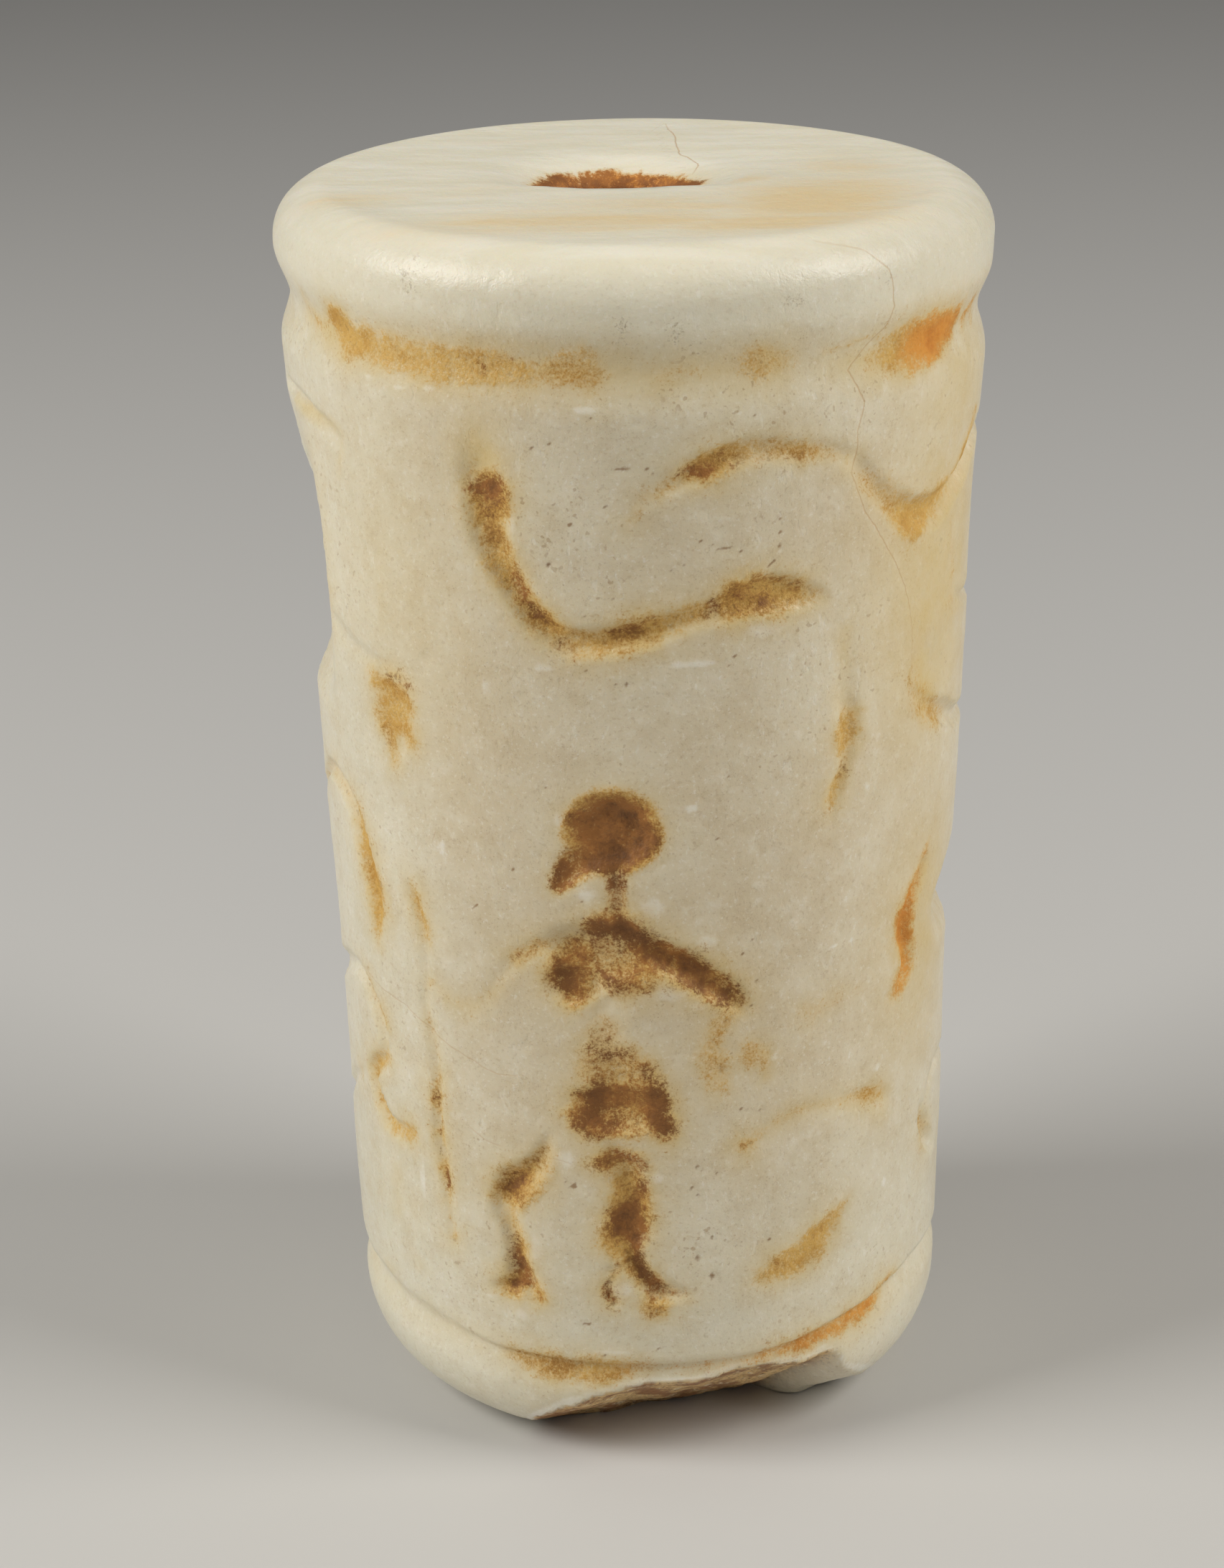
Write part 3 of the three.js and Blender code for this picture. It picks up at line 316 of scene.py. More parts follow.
    "v_left": [(-35.2, 13.07, 0.18, 0.40), (-34.0, 13.02, 0.09, 0.35), (-32.6, 12.84, 0.12, 0.30)],
    "groove_m": [(-14.5, 29.85, 0.6, 0.45), (-10.5, 29.98, 0.98, 0.48), (-7.8, 29.97, 1.05, 0.48), (-5.2, 29.86, 0.7, 0.32)],
    "groove_f": [(0.5, 29.95, 0.5, 0.2), (4.6, 29.90, 0.7, 0.26), (8.7, 29.82, 0.6, 0.26), (12.5, 30.0, 0.4, 0.2)],
    "groove_r": [(14.6, 30.12, 0.6, 0.36), (17.8, 29.95, 1.1, 0.46), (20.8, 29.87, 0.8, 0.42), (24.5, 29.8, 0.5, 0.28)],
    "groove_line": [(29.9, 30.04, 0.15, 0.50), (35.1, 30.07, 0.15, 0.50), (39.8, 30.12, 0.20, 0.50)],
    "groove_oc": [(40.5, 29.6, 0.8, 0.6), (43.5, 29.66, 1.1, 0.72), (47.2, 29.68, 1.3, 0.78)],
    "groove_or": [(49.5, 29.7, 1.1, 0.92), (52.6, 29.66, 1.3, 1.0), (56.7, 29.75, 1.0, 1.0), (59.9, 29.85, 0.75, 0.95), (62.0, 30.05, 0.4, 0.8)],
    "groove_or2": [(66.1, 29.7, 0.5, 0.65), (69.5, 29.95, 0.4, 0.6), (72, 29.6, 0.3, 0.5)],
    "lip_l": [(-29.6, 3.19, 0.4, 0.5), (-25.8, 3.12, 0.75, 0.55), (-20.5, 2.98, 0.95, 0.62),
        (-16.0, 2.98, 0.9, 0.58), (-8.9, 3.05, 0.9, 0.7), (-4.6, 3.1, 0.7, 0.5), (0, 3.1, 0.5, 0.35)],
    "lip_m": [(-4.6, 3.13, 0.45, 0.40), (4.4, 3.10, 0.40, 0.35), (15.2, 3.03, 0.45, 0.45),
        (21.1, 3.08, 0.50, 0.55), (29.1, 3.23, 0.60, 0.70), (36.1, 3.25, 0.60, 0.75), (42.8, 3.39, 0.60, 0.85),
        (47.2, 3.48, 0.55, 0.90), (50.6, 3.78, 0.30, 0.70), (54.5, 3.87, 0.18, 0.50)],
}

# darker dirt on top of it
DARKS = {
    "arm_top": [(-1.4, 15.47, 0.43, 0.70), (-0.2, 15.40, 0.49, 0.66), (2.8, 15.26, 0.49, 0.70),
        (5.9, 14.86, 0.67, 0.82), (8.6, 14.52, 0.49, 0.66), (11.3, 14.13, 0.37, 0.45)],
    "shoulder_top": [(-8.6, 15.88, 0.43, 0.50), (-6.2, 16.02, 0.55, 0.55), (-4.0, 15.90, 0.61, 0.65),
        (-1.4, 15.53, 0.49, 0.85)],
    "chest": [(-9.0, 15.38, 0.37, 0.50), (-11.1, 14.86, 0.55, 0.40), (-12.7, 14.34, 0.49, 0.25)],
    "neck": [(-5.0, 16.89, 0.31, 0.60)],
    "arm_l": [(-17.7, 15.27, 0.12, 0.50), (-20.3, 14.91, 0.15, 0.50), (-23.3, 14.66, 0.15, 0.50)],
    "hips": [(-9.4, 11.07, 0.43, 0.50), (-5.4, 11.16, 0.49, 0.58), (-1.8, 11.20, 0.55, 0.62),
        (0.9, 10.87, 0.55, 0.62), (2.1, 10.47, 0.55, 0.62), (2.5, 10.01, 0.37, 0.55)],
    "cap": [(-8.0, 9.48, 0.25, 0.60), (-5.2, 9.43, 0.31, 0.80), (-2.8, 9.24, 0.28, 0.95), (-1.6, 9.04, 0.25, 0.90)],
    "leg": [(-1.7, 8.51, 0.37, 0.50), (-3.4, 7.98, 0.49, 0.50), (-4.7, 7.51, 0.74, 0.90), (-3.9, 7.11, 0.74, 1.00),
        (-3.1, 6.64, 0.37, 0.70), (-1.1, 5.96, 0.31, 0.70), (0.5, 5.62, 0.37, 0.95), (3.0, 5.43, 0.21, 0.95),
        (5.9, 5.30, 0.15, 0.80)],
    "thigh": [(-25.4, 8.36, 0.43, 0.45), (-27.8, 8.02, 0.37, 0.35)],
    "shank": [(-28.1, 6.66, 0.15, 0.90), (-27.5, 6.41, 0.18, 0.90), (-26.6, 6.09, 0.25, 0.80),
        (-25.3, 5.86, 0.37, 0.70), (-24.3, 5.48, 0.49, 0.80), (-26.9, 5.30, 0.37, 0.60)],
    "bent_top": [(-27.6, 26.90, 0.39, 0.50), (-24.5, 26.91, 0.55, 0.85), (-24.1, 26.85, 0.39, 1.00),
        (-22.0, 27.17, 0.31, 0.50)],
    "bent_mid": [(-25.2, 26.54, 0.47, 0.45), (-24.8, 26.19, 0.39, 0.30)],
    "bent_edge": [(-21.0, 24.87, 0.24, 0.60), (-19.7, 24.45, 0.30, 0.85), (-18.6, 24.17, 0.20, 0.60),
        (-16.1, 23.72, 0.24, 0.40)],
    "bent_pit": [(-14.6, 23.03, 0.14, 0.90), (-13.9, 22.89, 0.19, 1.00), (-13.2, 22.82, 0.14, 1.00)],
    "bent_leg": [(-5.2, 23.46, 0.16, 0.50), (-1.1, 23.60, 0.17, 0.60), (1.6, 23.78, 0.31, 0.50),
        (3.4, 23.59, 0.24, 0.40)],
    "bent_leg2": [(11.7, 24.17, 0.20, 0.60), (11.2, 23.95, 0.24, 0.60)],
    "bent_end": [(15.9, 24.10, 0.47, 0.35), (18.3, 24.54, 0.24, 0.60), (22.2, 24.51, 0.20, 0.60),
        (27.3, 24.26, 0.16, 0.40)],
    "arc": [(5.8, 27.42, 0.20, 0.80), (7.1, 27.44, 0.27, 0.85), (8.7, 27.41, 0.27, 0.80),
        (10.7, 27.43, 0.39, 0.50), (12.1, 27.62, 0.39, 0.40)],
    "arc_low": [(14.1, 27.36, 0.16, 0.70), (15.3, 27.40, 0.14, 0.60)],
    "arc_low2": [(19.5, 27.30, 0.16, 0.60), (21.1, 27.27, 0.20, 0.85), (22.7, 27.29, 0.17, 0.90)],
    "arc_spot": [(22.6, 27.06, 0.14, 0.70), (22.5, 26.92, 0.16, 0.70)],
    "staff": [(-42.3, 10.29, 0.12, 0.40), (-41.6, 8.99, 0.15, 0.40), (-40.4, 7.70, 0.15, 0.70)],
    "recess": [(-47.3, 21.66, 0.11, 0.70), (-44.3, 21.66, 0.16, 0.80), (-42.1, 21.45, 0.16, 0.60)],
    "recess2": [(-50.2, 19.86, 0.06, 0.70), (-49.8, 19.66, 0.09, 0.70)],
    "groove": [(-23.9, 29.89, 0.18, 0.50), (-23.9, 29.73, 0.18, 0.40)],
    "groove2": [(-19.1, 30.13, 0.07, 0.70)],
    "leaf": [(23.9, 5.69, 0.07, 0.60)],
    "leaf2": [(33.4, 6.46, 0.09, 0.40)],
    "knot": [(17.1, 9.40, 0.13, 0.50)],
    "post": [(35.5, 19.55, 0.08, 0.50), (35.6, 19.22, 0.09, 0.60)],
    "spot": [(51.1, 20.91, 0.08, 0.40)],
    "heel": [(-7.8, 5.80, 0.10, 0.70), (-8.7, 5.59, 0.15, 0.90), (-8.1, 5.32, 0.25, 1.00), (-7.3, 5.23, 0.18, 1.00)],
}

# soft yellow light-brown tinge
GLOWS = {
    "bent_top": [(-25.1, 28.12, 1.33, 0.50), (-24.8, 27.63, 1.33, 0.80)],
    "bent_low": [(-7.6, 23.01, 0.63, 0.50), (-1.2, 23.01, 0.47, 0.40), (4.7, 23.28, 0.39, 0.40)],
    "bent_end": [(22.2, 23.98, 1.10, 0.80), (30.1, 23.93, 0.47, 0.50)],
    "post": [(34.9, 22.96, 0.47, 0.50), (35.1, 22.28, 0.47, 0.50), (35.2, 21.59, 0.47, 0.45)],
    "post_top": [(35.5, 21.26, 0.99, 0.40), (35.6, 20.87, 0.79, 0.45)],
    "triangle": [(38.8, 26.48, 0.50, 0.40), (42.4, 26.06, 0.83, 0.45), (44.7, 25.51, 0.83, 0.40)],
    "right_band": [(57.0, 24.00, 0.75, 0.45), (57.7, 22.96, 0.75, 0.45), (55.1, 22.05, 0.75, 0.45)],
    "right_mid": [(55.4, 21.9, 1.0, 0.75), (56.0, 20.89, 1.2, 0.9), (57.8, 20.03, 1.1, 0.9)],
    "right_mid2": [(33.3, 23.28, 0.38, 0.20), (33.4, 22.88, 0.38, 0.30)],
    "arm_end": [(8.2, 14.33, 0.55, 0.30), (14.1, 13.48, 0.55, 0.35)],
    "belly": [(19.4, 12.18, 0.88, 0.30), (21.2, 11.30, 0.40, 0.50)],
    "limb_low": [(41.6, 9.72, 0.71, 0.40), (48.1, 9.22, 0.71, 0.40)],
    "limb_leaf": [(64.6, 8.16, 0.40, 0.50), (66.5, 7.24, 0.40, 0.50)],
    "leaf": [(23.9, 5.84, 1.1, 0.7), (30.9, 6.11, 1.1, 0.7)],
    "groove_l": [(-44.1, 30.28, 0.59, 0.45), (-33.1, 30.36, 0.59, 0.45), (-21.9, 30.43, 0.59, 0.45),
        (-13.8, 30.45, 0.47, 0.40)],
    "recess_lip": [(-72.9, 27.60, 0.35, 0.50), (-61.6, 27.74, 0.35, 0.50), (-55.8, 27.56, 0.35, 0.50),
        (-55.0, 27.09, 0.29, 0.40), (-56.3, 26.43, 0.24, 0.30)],
    "body_left": [(-46.1, 25.06, 0.88, 0.30), (-46.9, 23.91, 0.88, 0.35), (-48.3, 22.72, 0.88, 0.30)],
    "recess": [(-47.1, 21.16, 1.08, 0.50), (-46.8, 20.16, 1.08, 0.50)],
    "staff_a": [(-42.7, 13.21, 0.37, 0.35), (-43.4, 12.21, 0.37, 0.40), (-42.2, 11.35, 0.37, 0.30)],
    "staff_b": [(-41.3, 9.94, 0.43, 0.40), (-40.9, 8.69, 0.37, 0.40), (-40.5, 7.02, 0.37, 0.35)],
    "left_low": [(-55.2, 7.31, 0.74, 0.35), (-56.3, 6.14, 0.74, 0.35)],
    "left_foot": [(-49.8, 4.79, 0.49, 0.30), (-49.8, 4.79, 0.49, 0.30)],
    "left_hook": [(-57.3, 10.97, 0.43, 0.50), (-60.4, 9.71, 0.43, 0.40), (-55.6, 8.58, 0.55, 0.40)],
    "lip_r": [(26.6, 3.34, 0.80, 0.40), (39.8, 3.39, 0.80, 0.50), (53.2, 3.72, 0.70, 0.40)],
    "thigh": [(-18.8, 9.66, 0.74, 0.35), (-23.9, 8.60, 0.74, 0.40)],
    "hip": [(-10.3, 10.71, 1.59, 0.35), (-1.5, 10.75, 1.59, 0.35)],
    "groove_r": [(30.0, 29.7, 0.9, 0.40), (38.0, 29.55, 1.1, 0.65), (49.8, 29.59, 1.5, 0.8), (63.5, 29.94, 1.0, 0.7)],
    "groove_c": [(-14, 29.95, 1.0, 0.6), (-4, 29.9, 1.1, 0.55), (8, 29.85, 1.1, 0.55), (20, 29.85, 1.3, 0.7)],
    "groove_ll": [(-66, 30.1, 0.7, 0.5), (-52, 29.95, 1.0, 0.75), (-34, 29.85, 1.05, 0.75), (-18, 29.85, 1.0, 0.6)],
    "hook_r": [(60, 15.6, 0.9, 0.7), (54, 14.4, 1.3, 0.85), (55, 13.1, 1.2, 0.8)],
    "low_arc": [(17, 9.4, 0.4, 0.45), (27, 10.1, 0.45, 0.5), (38, 10.05, 0.5, 0.55), (49, 9.6, 0.7, 0.6)],
    "forearm": [(14.0, 13.1, 0.5, 0.4), (11.6, 12.3, 0.6, 0.45), (12.2, 11.4, 0.5, 0.4)],
    "left_v": [(-25, 14.2, 0.4, 0.35), (-30.4, 13.3, 0.5, 0.4), (-36, 13.05, 0.6, 0.45), (-43, 13.6, 0.4, 0.3)],
}

# whitish marks: pale bruising of the stone, and painted highlights on the lit lower edges of cuts and along the
# groove's shoulder: angle, z, half sizes in mm
PALES = [
    (4.3, 13.93, 0.92, 0.37), (9.0, 13.57, 0.49, 0.25), (0.6, 16.33, 0.55, 0.55), (7.5, 18.93, 0.37, 0.12),
    (-14.2, 18.59, 0.37, 0.37), (-10.3, 16.61, 0.31, 0.31), (10.1, 15.31, 0.55, 0.25), (-5.4, 5.48, 0.49, 0.43),
    (-25.3, 4.42, 0.37, 0.31), (-31.5, 4.75, 0.37, 0.12), (1.2, 8.77, 0.25, 0.31), (-7.3, 3.61, 0.92, 0.15),
    (-15.5, 9.19, 0.55, 0.43), (-21.9, 6.51, 0.25, 0.74), (19.8, 23.36, 0.94, 0.31), (-8.4, 28.98, 0.47, 0.16),
    (22.1, 25.26, 0.16, 0.11), (-20.4, 26.26, 0.16, 0.94), (-16.1, 22.57, 0.47, 0.16), (7.9, 22.66, 1.2, 0.16),
    (49.4, 7.06, 0.22, 0.35), (46.6, 10.51, 0.22, 0.18), (22.8, 11.81, 0.22, 0.18), (40.7, 18.66, 0.13, 0.33),
    (51.6, 13.24, 0.13, 0.40), (34.6, 14.53, 0.26, 0.13), (38.5, 14.50, 0.17, 0.10), (-45.8, 29.17, 0.35, 0.11),
    (-39.2, 29.10, 0.35, 0.11), (-33.6, 29.19, 0.35, 0.08), (-26.2, 21.94, 0.16, 0.49), (-36.8, 17.40, 0.22, 0.43),
    (-47.1, 7.50, 0.18, 1.23),
]

# small dark pits: angle, z, radius in mm
DOTS = [
    (-15.7, 8.53, 0.04), (-15.1, 8.43, 0.05), (-14.0, 8.47, 0.04), (-13.4, 8.56, 0.05), (8.5, 9.00, 0.11),
    (9.3, 8.95, 0.07), (11.8, 8.74, 0.07), (7.0, 8.39, 0.11), (8.1, 8.24, 0.09), (10.6, 6.92, 0.12),
    (9.3, 7.52, 0.05), (8.0, 6.36, 0.15), (11.0, 5.77, 0.16), (15.3, 6.56, 0.05), (21.7, 6.62, 0.06),
    (8.2, 4.79, 0.09), (-13.2, 4.40, 0.09), (-11.5, 4.39, 0.06), (1.0, 3.73, 0.06), (-9.4, 3.49, 0.06),
    (14.8, 12.11, 0.05), (19.8, 10.34, 0.10), (16.6, 10.55, 0.06), (13.5, 19.61, 0.08), (-30.4, 15.96, 0.08),
    (-31.1, 15.90, 0.06), (19.7, 14.08, 0.08), (18.0, 13.36, 0.06), (18.7, 15.24, 0.07), (-11.1, 16.51, 0.09),
    (-10.6, 16.05, 0.07), (-16.7, 19.40, 0.05), (-22.5, 17.14, 0.05), (11.7, 18.06, 0.06), (16.1, 14.89, 0.04),
    (13.8, 12.98, 0.05), (-3.4, 27.57, 0.07), (-2.7, 27.57, 0.10), (-2.0, 27.54, 0.09), (0.8, 27.59, 0.09),
    (1.9, 27.50, 0.07), (-14.6, 25.13, 0.11), (-14.9, 25.22, 0.07), (-9.1, 23.89, 0.06), (-4.4, 24.41, 0.08),
    (22.3, 26.67, 0.05), (22.4, 26.09, 0.09), (22.1, 25.77, 0.09), (22.2, 25.44, 0.14), (9.4, 25.69, 0.05),
    (10.9, 25.63, 0.05), (11.9, 25.53, 0.05), (13.0, 25.51, 0.05), (13.9, 25.48, 0.05), (15.6, 25.44, 0.05),
    (6.4, 25.14, 0.06), (4.8, 25.08, 0.05), (-10.7, 26.21, 0.07), (-7.3, 28.78, 0.06), (-14.1, 28.18, 0.05),
    (28.5, 28.29, 0.05), (17.5, 28.71, 0.06), (14.5, 22.76, 0.10), (13.3, 22.48, 0.08), (-2.9, 22.21, 0.13),
    (-4.5, 22.23, 0.07), (-9.5, 22.48, 0.07), (20.9, 25.05, 0.06), (20.4, 24.97, 0.05), (-16.4, 27.98, 0.07),
    (-6.9, 26.15, 0.06), (-5.9, 26.69, 0.05),
]

# runs where the dirt is brown all through, and how brown, and runs where it is orange
BROWN = {"shoulders": 0.54, "chest_left": 0.47, "chest_mid": 0.47, "right_arm": 0.46, "left_arm": 0.42, "forearm": 0.16,
         "neck": 0.4, "hips": 0.5, "hips_low": 0.48, "waist": 0.42, "leg_cap": 0.4, "leg": 0.24, "foot": 0.3, "heel": 0.5,
         "thigh": 0.27, "knee": 0.3, "shank": 0.24, "toe": 0.32, "bent": 0.21, "arc": 0.11, "groove_m": 0.15,
         "groove_r": 0.14, "lip_l": 0.18}
ORANGE = ("groove_or", "groove_or2", "hook", "edge_l", "lip_m")

# broad soft yellowing: centre, half sizes (mm), amount
HALOS = [
    ((60, 23.5), (3.0, 4.6), 0.66), ((64, 28.0), (2.8, 1.8), 0.5), ((61, 14.0), (2.2, 3.4), 0.55),
    ((-43, 24.0), (2.6, 4.8), 0.24), ((-55, 6.5), (1.8, 1.4), 0.15), ((-68, 24.0), (1.2, 3.5), 0.3),
    ((-40, 3.3), (3.0, 0.6), 0.25), ((38, 3.4), (3.4, 0.6), 0.4),
    ((150, 21.0), (7.0, 5.0), 0.3), ((215, 13.0), (6.0, 7.0), 0.25), ((180, 29.8), (12.0, 0.8), 0.6),
    ((190, 3.2), (14.0, 0.7), 0.5), ((110, 7.0), (4.0, 3.0), 0.25), ((255, 22.5), (5.0, 3.0), 0.3),
]

# golden patches on the upper face: centre (x, y), half sizes, turn, amount
GOLD = [((4.4, -3.0), (2.4, 3.2), -30, 0.85), ((-0.8, -5.2), (5.6, 1.5), 3, 0.62), ((3.4, -5.4), (3.2, 1.3), 14, 0.75),
        ((-6.9, -2.6), (1.6, 1.1), 0, 0.5), ((5.4, 0.6), (1.8, 2.2), 10, 0.45), ((2.9, -0.4), (0.6, 1.2), -35, 0.5), ((0.8, -3.5), (3.6, 1.5), 2, 0.55),
        ((-3.2, 5.0), (2.6, 0.5), 0, 0.25), ((-3.8, -1.6), (1.6, 0.7), 10, 0.3)]

# grey-brown smudges of dirt on the upper band: angle, z, half sizes, amount
SMUDGES = [(-36, 31.9, 0.35, 0.5, 0.4), (-2.5, 31.0, 0.25, 0.45, 0.32), (2.5, 31.2, 0.2, 0.35, 0.3), (5.5, 30.9, 0.3, 0.6, 0.38),
           (7.5, 30.5, 0.5, 0.3, 0.25), (24, 31.4, 0.5, 0.18, 0.35), (40, 31.6, 0.3, 0.35, 0.25), (13, 29.4, 0.9, 0.25, 0.2),
           (200, 31.2, 0.6, 0.5, 0.4), (140, 31.0, 0.5, 0.6, 0.4)]

# cracks on the side: points (angle, z), width in mm, strength
CRACKS = [
    ([(29.3, 32.62), (37.2, 32.3), (41.2, 31.8), (42, 30.85), (41, 30.4), (36, 29.75), (34, 29.4), (36.8, 28.6), (35.6, 27.9),
      (36, 27.2), (35, 26.9), (37.8, 25.9), (42, 25.1), (46.5, 24.2), (50, 23.2), (51.5, 22.3), (51.8, 21.4)], 0.05, 0.62),
    ([(-66, 12.95), (-56, 12.6), (-49, 12.5), (-40, 11.9), (-34, 11.6), (-28, 11.35), (-22, 11.45)], 0.035, 0.4),
    ([(-35, 9.65), (-31, 9.35), (-27.5, 9.3)], 0.03, 0.35), ([(-20.5, 9.15), (-17.5, 9.2), (-14, 9.1)], 0.03, 0.3),
    ([(-38, 17.8), (-39, 17.4)], 0.03, 0.35),
    ([(16, 12.7), (26, 12.6), (38, 12.9), (50, 12.95)], 0.05, 0.16),
    ([(0, 11.0), (-4, 10.3), (-9, 9.6)], 0.035, 0.2),
    ([(205, 20.5), (199, 18.6), (203, 16.8), (197, 14.9)], 0.05, 0.5),
]

# crack on the upper face, from the edge to the hole: (x, y)
TOP_CRACK = [(0.93, 7.4), (1.15, 5.6), (1.19, 4.46), (1.28, 3.15), (1.75, 2.3), (1.49, 1.6)]


def spline(points, step=0.1):
    """Points of a smooth run through the control points; columns after the second ride along."""
    p = np.array(points, float)
    if len(p) == 1:                                     # a lone point is a short dab
        p = np.vstack([p[0], p[0]])
        p[1, 0] += 0.3
    p = np.vstack([2 * p[0] - p[1], p, 2 * p[-1] - p[-2]])
    out = []
    for i in range(1, len(p) - 2):
        length = math.hypot((p[i + 1, 0] - p[i, 0]) * MM_PER_DEG, p[i + 1, 1] - p[i, 1])
        t = np.linspace(0, 1, max(2, int(length / step) + 1), endpoint=False)[:, None]
        a, b, c, d = p[i - 1], p[i], p[i + 1], p[i + 2]
        out.append(0.5 * (2 * b + (c - a) * t + (2 * a - 5 * b + 4 * c - d) * t ** 2 + (3 * b - a - 3 * c + d) * t ** 3))
    out.append(p[-2:-1])
    return np.vstack(out)


def near(a, z, a0, a1, z0, z1, pad):
    mid, half = (a0 + a1) / 2, (a1 - a0) / 2
    return np.nonzero((np.abs(wrap(a - mid)) < half + pad / MM_PER_DEG) & (z > z0 - pad) & (z < z1 + pad))[0]


def along(a, z, points, reach):
    """For vertices within reach of the run: their indices, the run's points, and distances in mm."""
    run = spline(points)
    idx = near(a, z, run[:, 0].min(), run[:, 0].max(), run[:, 1].min(), run[:, 1].max(), reach)
    if not len(idx):
        return idx, run, np.zeros((0, len(run)))
    da = wrap(a[idx, None] - run[None, :, 0]) * MM_PER_DEG
    dz = z[idx, None] - run[None, :, 1]
    return idx, run, np.hypot(da, dz)


def carve(a, z):
    """Depth of the cut, and the stain, darkness and glow that cuts carry of their own."""
    depth, stain, dark, halo = (np.zeros(len(a)) for _ in range(4))
    for points, (amount, darkness, glow) in STROKES.values():
        idx, run, d = along(a, z, points, 1.5)
        if not len(idx):
            continue
        half, deep = np.maximum(run[:, 2] / 2, 0.05) * 1.12, np.maximum(run[:, 3], 0)
        u = d / half
        depth[idx] = np.maximum(depth[idx], (deep * (1 - np.clip(u, 0, 1) ** 2) ** 1.25).max(1))
        if amount + glow <= 0:
            continue
        fade = np.clip(deep / 0.16, 0.25, 1)
        s = (fade * np.clip(1.22 - u, 0, 1)).max(1)
        stain[idx] = np.maximum(stain[idx], amount * np.clip(s * 1.6, 0, 1))
        dark[idx] = np.maximum(dark[idx], darkness * np.clip(s * 1.3, 0, 1))
        g = (fade * np.exp(-np.clip(d - half * 0.7, 0, None) / 0.28)).max(1)
        halo[idx] = np.maximum(halo[idx], glow * 0.6 * g)
    for (ca, cz), (hx, hz), deep, tilt, soft, (amount, darkness, glow) in HOLLOWS.values():
        idx = near(a, z, ca, ca, cz, cz, max(hx, hz) * 1.5 + 0.8)
        x, y = wrap(a[idx] - ca) * MM_PER_DEG, z[idx] - cz
        c, s = math.cos(math.radians(tilt)), math.sin(math.radians(tilt))
        u = np.hypot((x * c + y * s) / hx, (-x * s + y * c) / hz)
        depth[idx] = np.maximum(depth[idx], deep * smooth((1 - u) / soft))
        stain[idx] = np.maximum(stain[idx], amount * np.clip((1.14 - u) * 3.2, 0, 1))
        dark[idx] = np.maximum(dark[idx], darkness * np.clip((1.05 - u) * 2.4, 0, 1))
        halo[idx] = np.maximum(halo[idx], glow * 0.7 * np.exp(-np.clip(u - 0.9, 0, None) * min(hx, hz) / 0.3))
    r = LEFT_RECESS
    depth = np.maximum(depth, np.interp(z, [q[0] for q in r["profile"]], [q[1] for q in r["profile"]])
                       * smooth((r["front"][0] - a) / (r["front"][0] - r["front"][1]))
                       * smooth((a - r["back"][0]) / (r["back"][1] - r["back"][0])))
    return depth, stain, dark, halo


def spread(a, z, runs, soft, tail=0.0, glow=0.0, reach=0.35):
    """Runs of dirt: full inside, half at the edge, and gone `soft` mm outside it.

    tail leaves a low level past the edge, where only specks show, and glow is a smooth fall-off."""
    out, around = np.zeros(len(a)), np.zeros(len(a))
    for points in runs.values():
        idx, run, d = along(a, z, points, 1.6)
        if not len(idx):
            continue
        half, level = np.maximum(run[:, 2] / 2, 0.045), np.clip(run[:, 3], 0, 1)
        out_by = d - half
        edge = np.minimum(soft, half * 1.3 + 0.1)
        v = level * smooth(0.5 - out_by / (2 * edge))
        if tail:
            v = np.maximum(v, tail * level * np.exp(-np.clip(out_by, 0, None) / 0.45))
        out[idx] = np.maximum(out[idx], v.max(1))
        if glow:
            around[idx] = np.maximum(around[idx], (glow * level * np.exp(-np.clip(out_by + 0.05, 0, None) / reach)).max(1))
    return out, around


def crack_field(a, z):
    """Signed distance to the nearest crack, in mm, and how strong the crack is there."""
    signed, strength, best = np.full(len(a), 0.5), np.zeros(len(a)), np.full(len(a), 0.5)
    for points, width, amount in CRACKS:
        p = np.array(points, float)
        idx = near(a, z, p[:, 0].min(), p[:, 0].max(), p[:, 1].min(), p[:, 1].max(), 0.5)
        x, y = wrap(a[idx] - p[:, 0].mean()) * MM_PER_DEG, z[idx]
        px, py = wrap(p[:, 0] - p[:, 0].mean()) * MM_PER_DEG, p[:, 1]
        s, o, b = nearest_line(x, y, px, py, amount)
        take = b < best[idx]
        k = idx[take]
        best[k], signed[k], strength[k] = b[take], s[take], o[take]
    return signed, strength


def nearest_line(x, y, px, py, amount):
    signed, strength, best = np.full(len(x), 0.5), np.zeros(len(x)), np.full(len(x), 0.5)
    n = len(px) - 1
    for i in range(n):
        dx, dy = px[i + 1] - px[i], py[i + 1] - py[i]
        t_raw = ((x - px[i]) * dx + (y - py[i]) * dy) / (dx * dx + dy * dy)
        t = np.clip(t_raw, 0, 1)
        d = np.hypot(x - px[i] - t * dx, y - py[i] - t * dy)
        side = np.where(dx * (y - py[i]) - dy * (x - px[i]) >= 0, 1.0, -1.0)
        k = np.nonzero(d < best)[0]
        best[k] = d[k]
        signed[k] = (d * side)[k]
        whole = (i + t[k]) / n
        ends = np.clip(whole * 6, 0, 1) * np.clip((1 - whole) * 6, 0, 1)
        out = ((i == 0) & (t_raw[k] < 0)) | ((i == n - 1) & (t_raw[k] > 1))
        strength[k] = np.where(out, 0, amount * (0.25 + 0.75 * ends)) * np.clip((0.45 - d[k]) / 0.15, 0, 1)
    return signed, strength, best


# ---------------------------------------------------------------- side surface

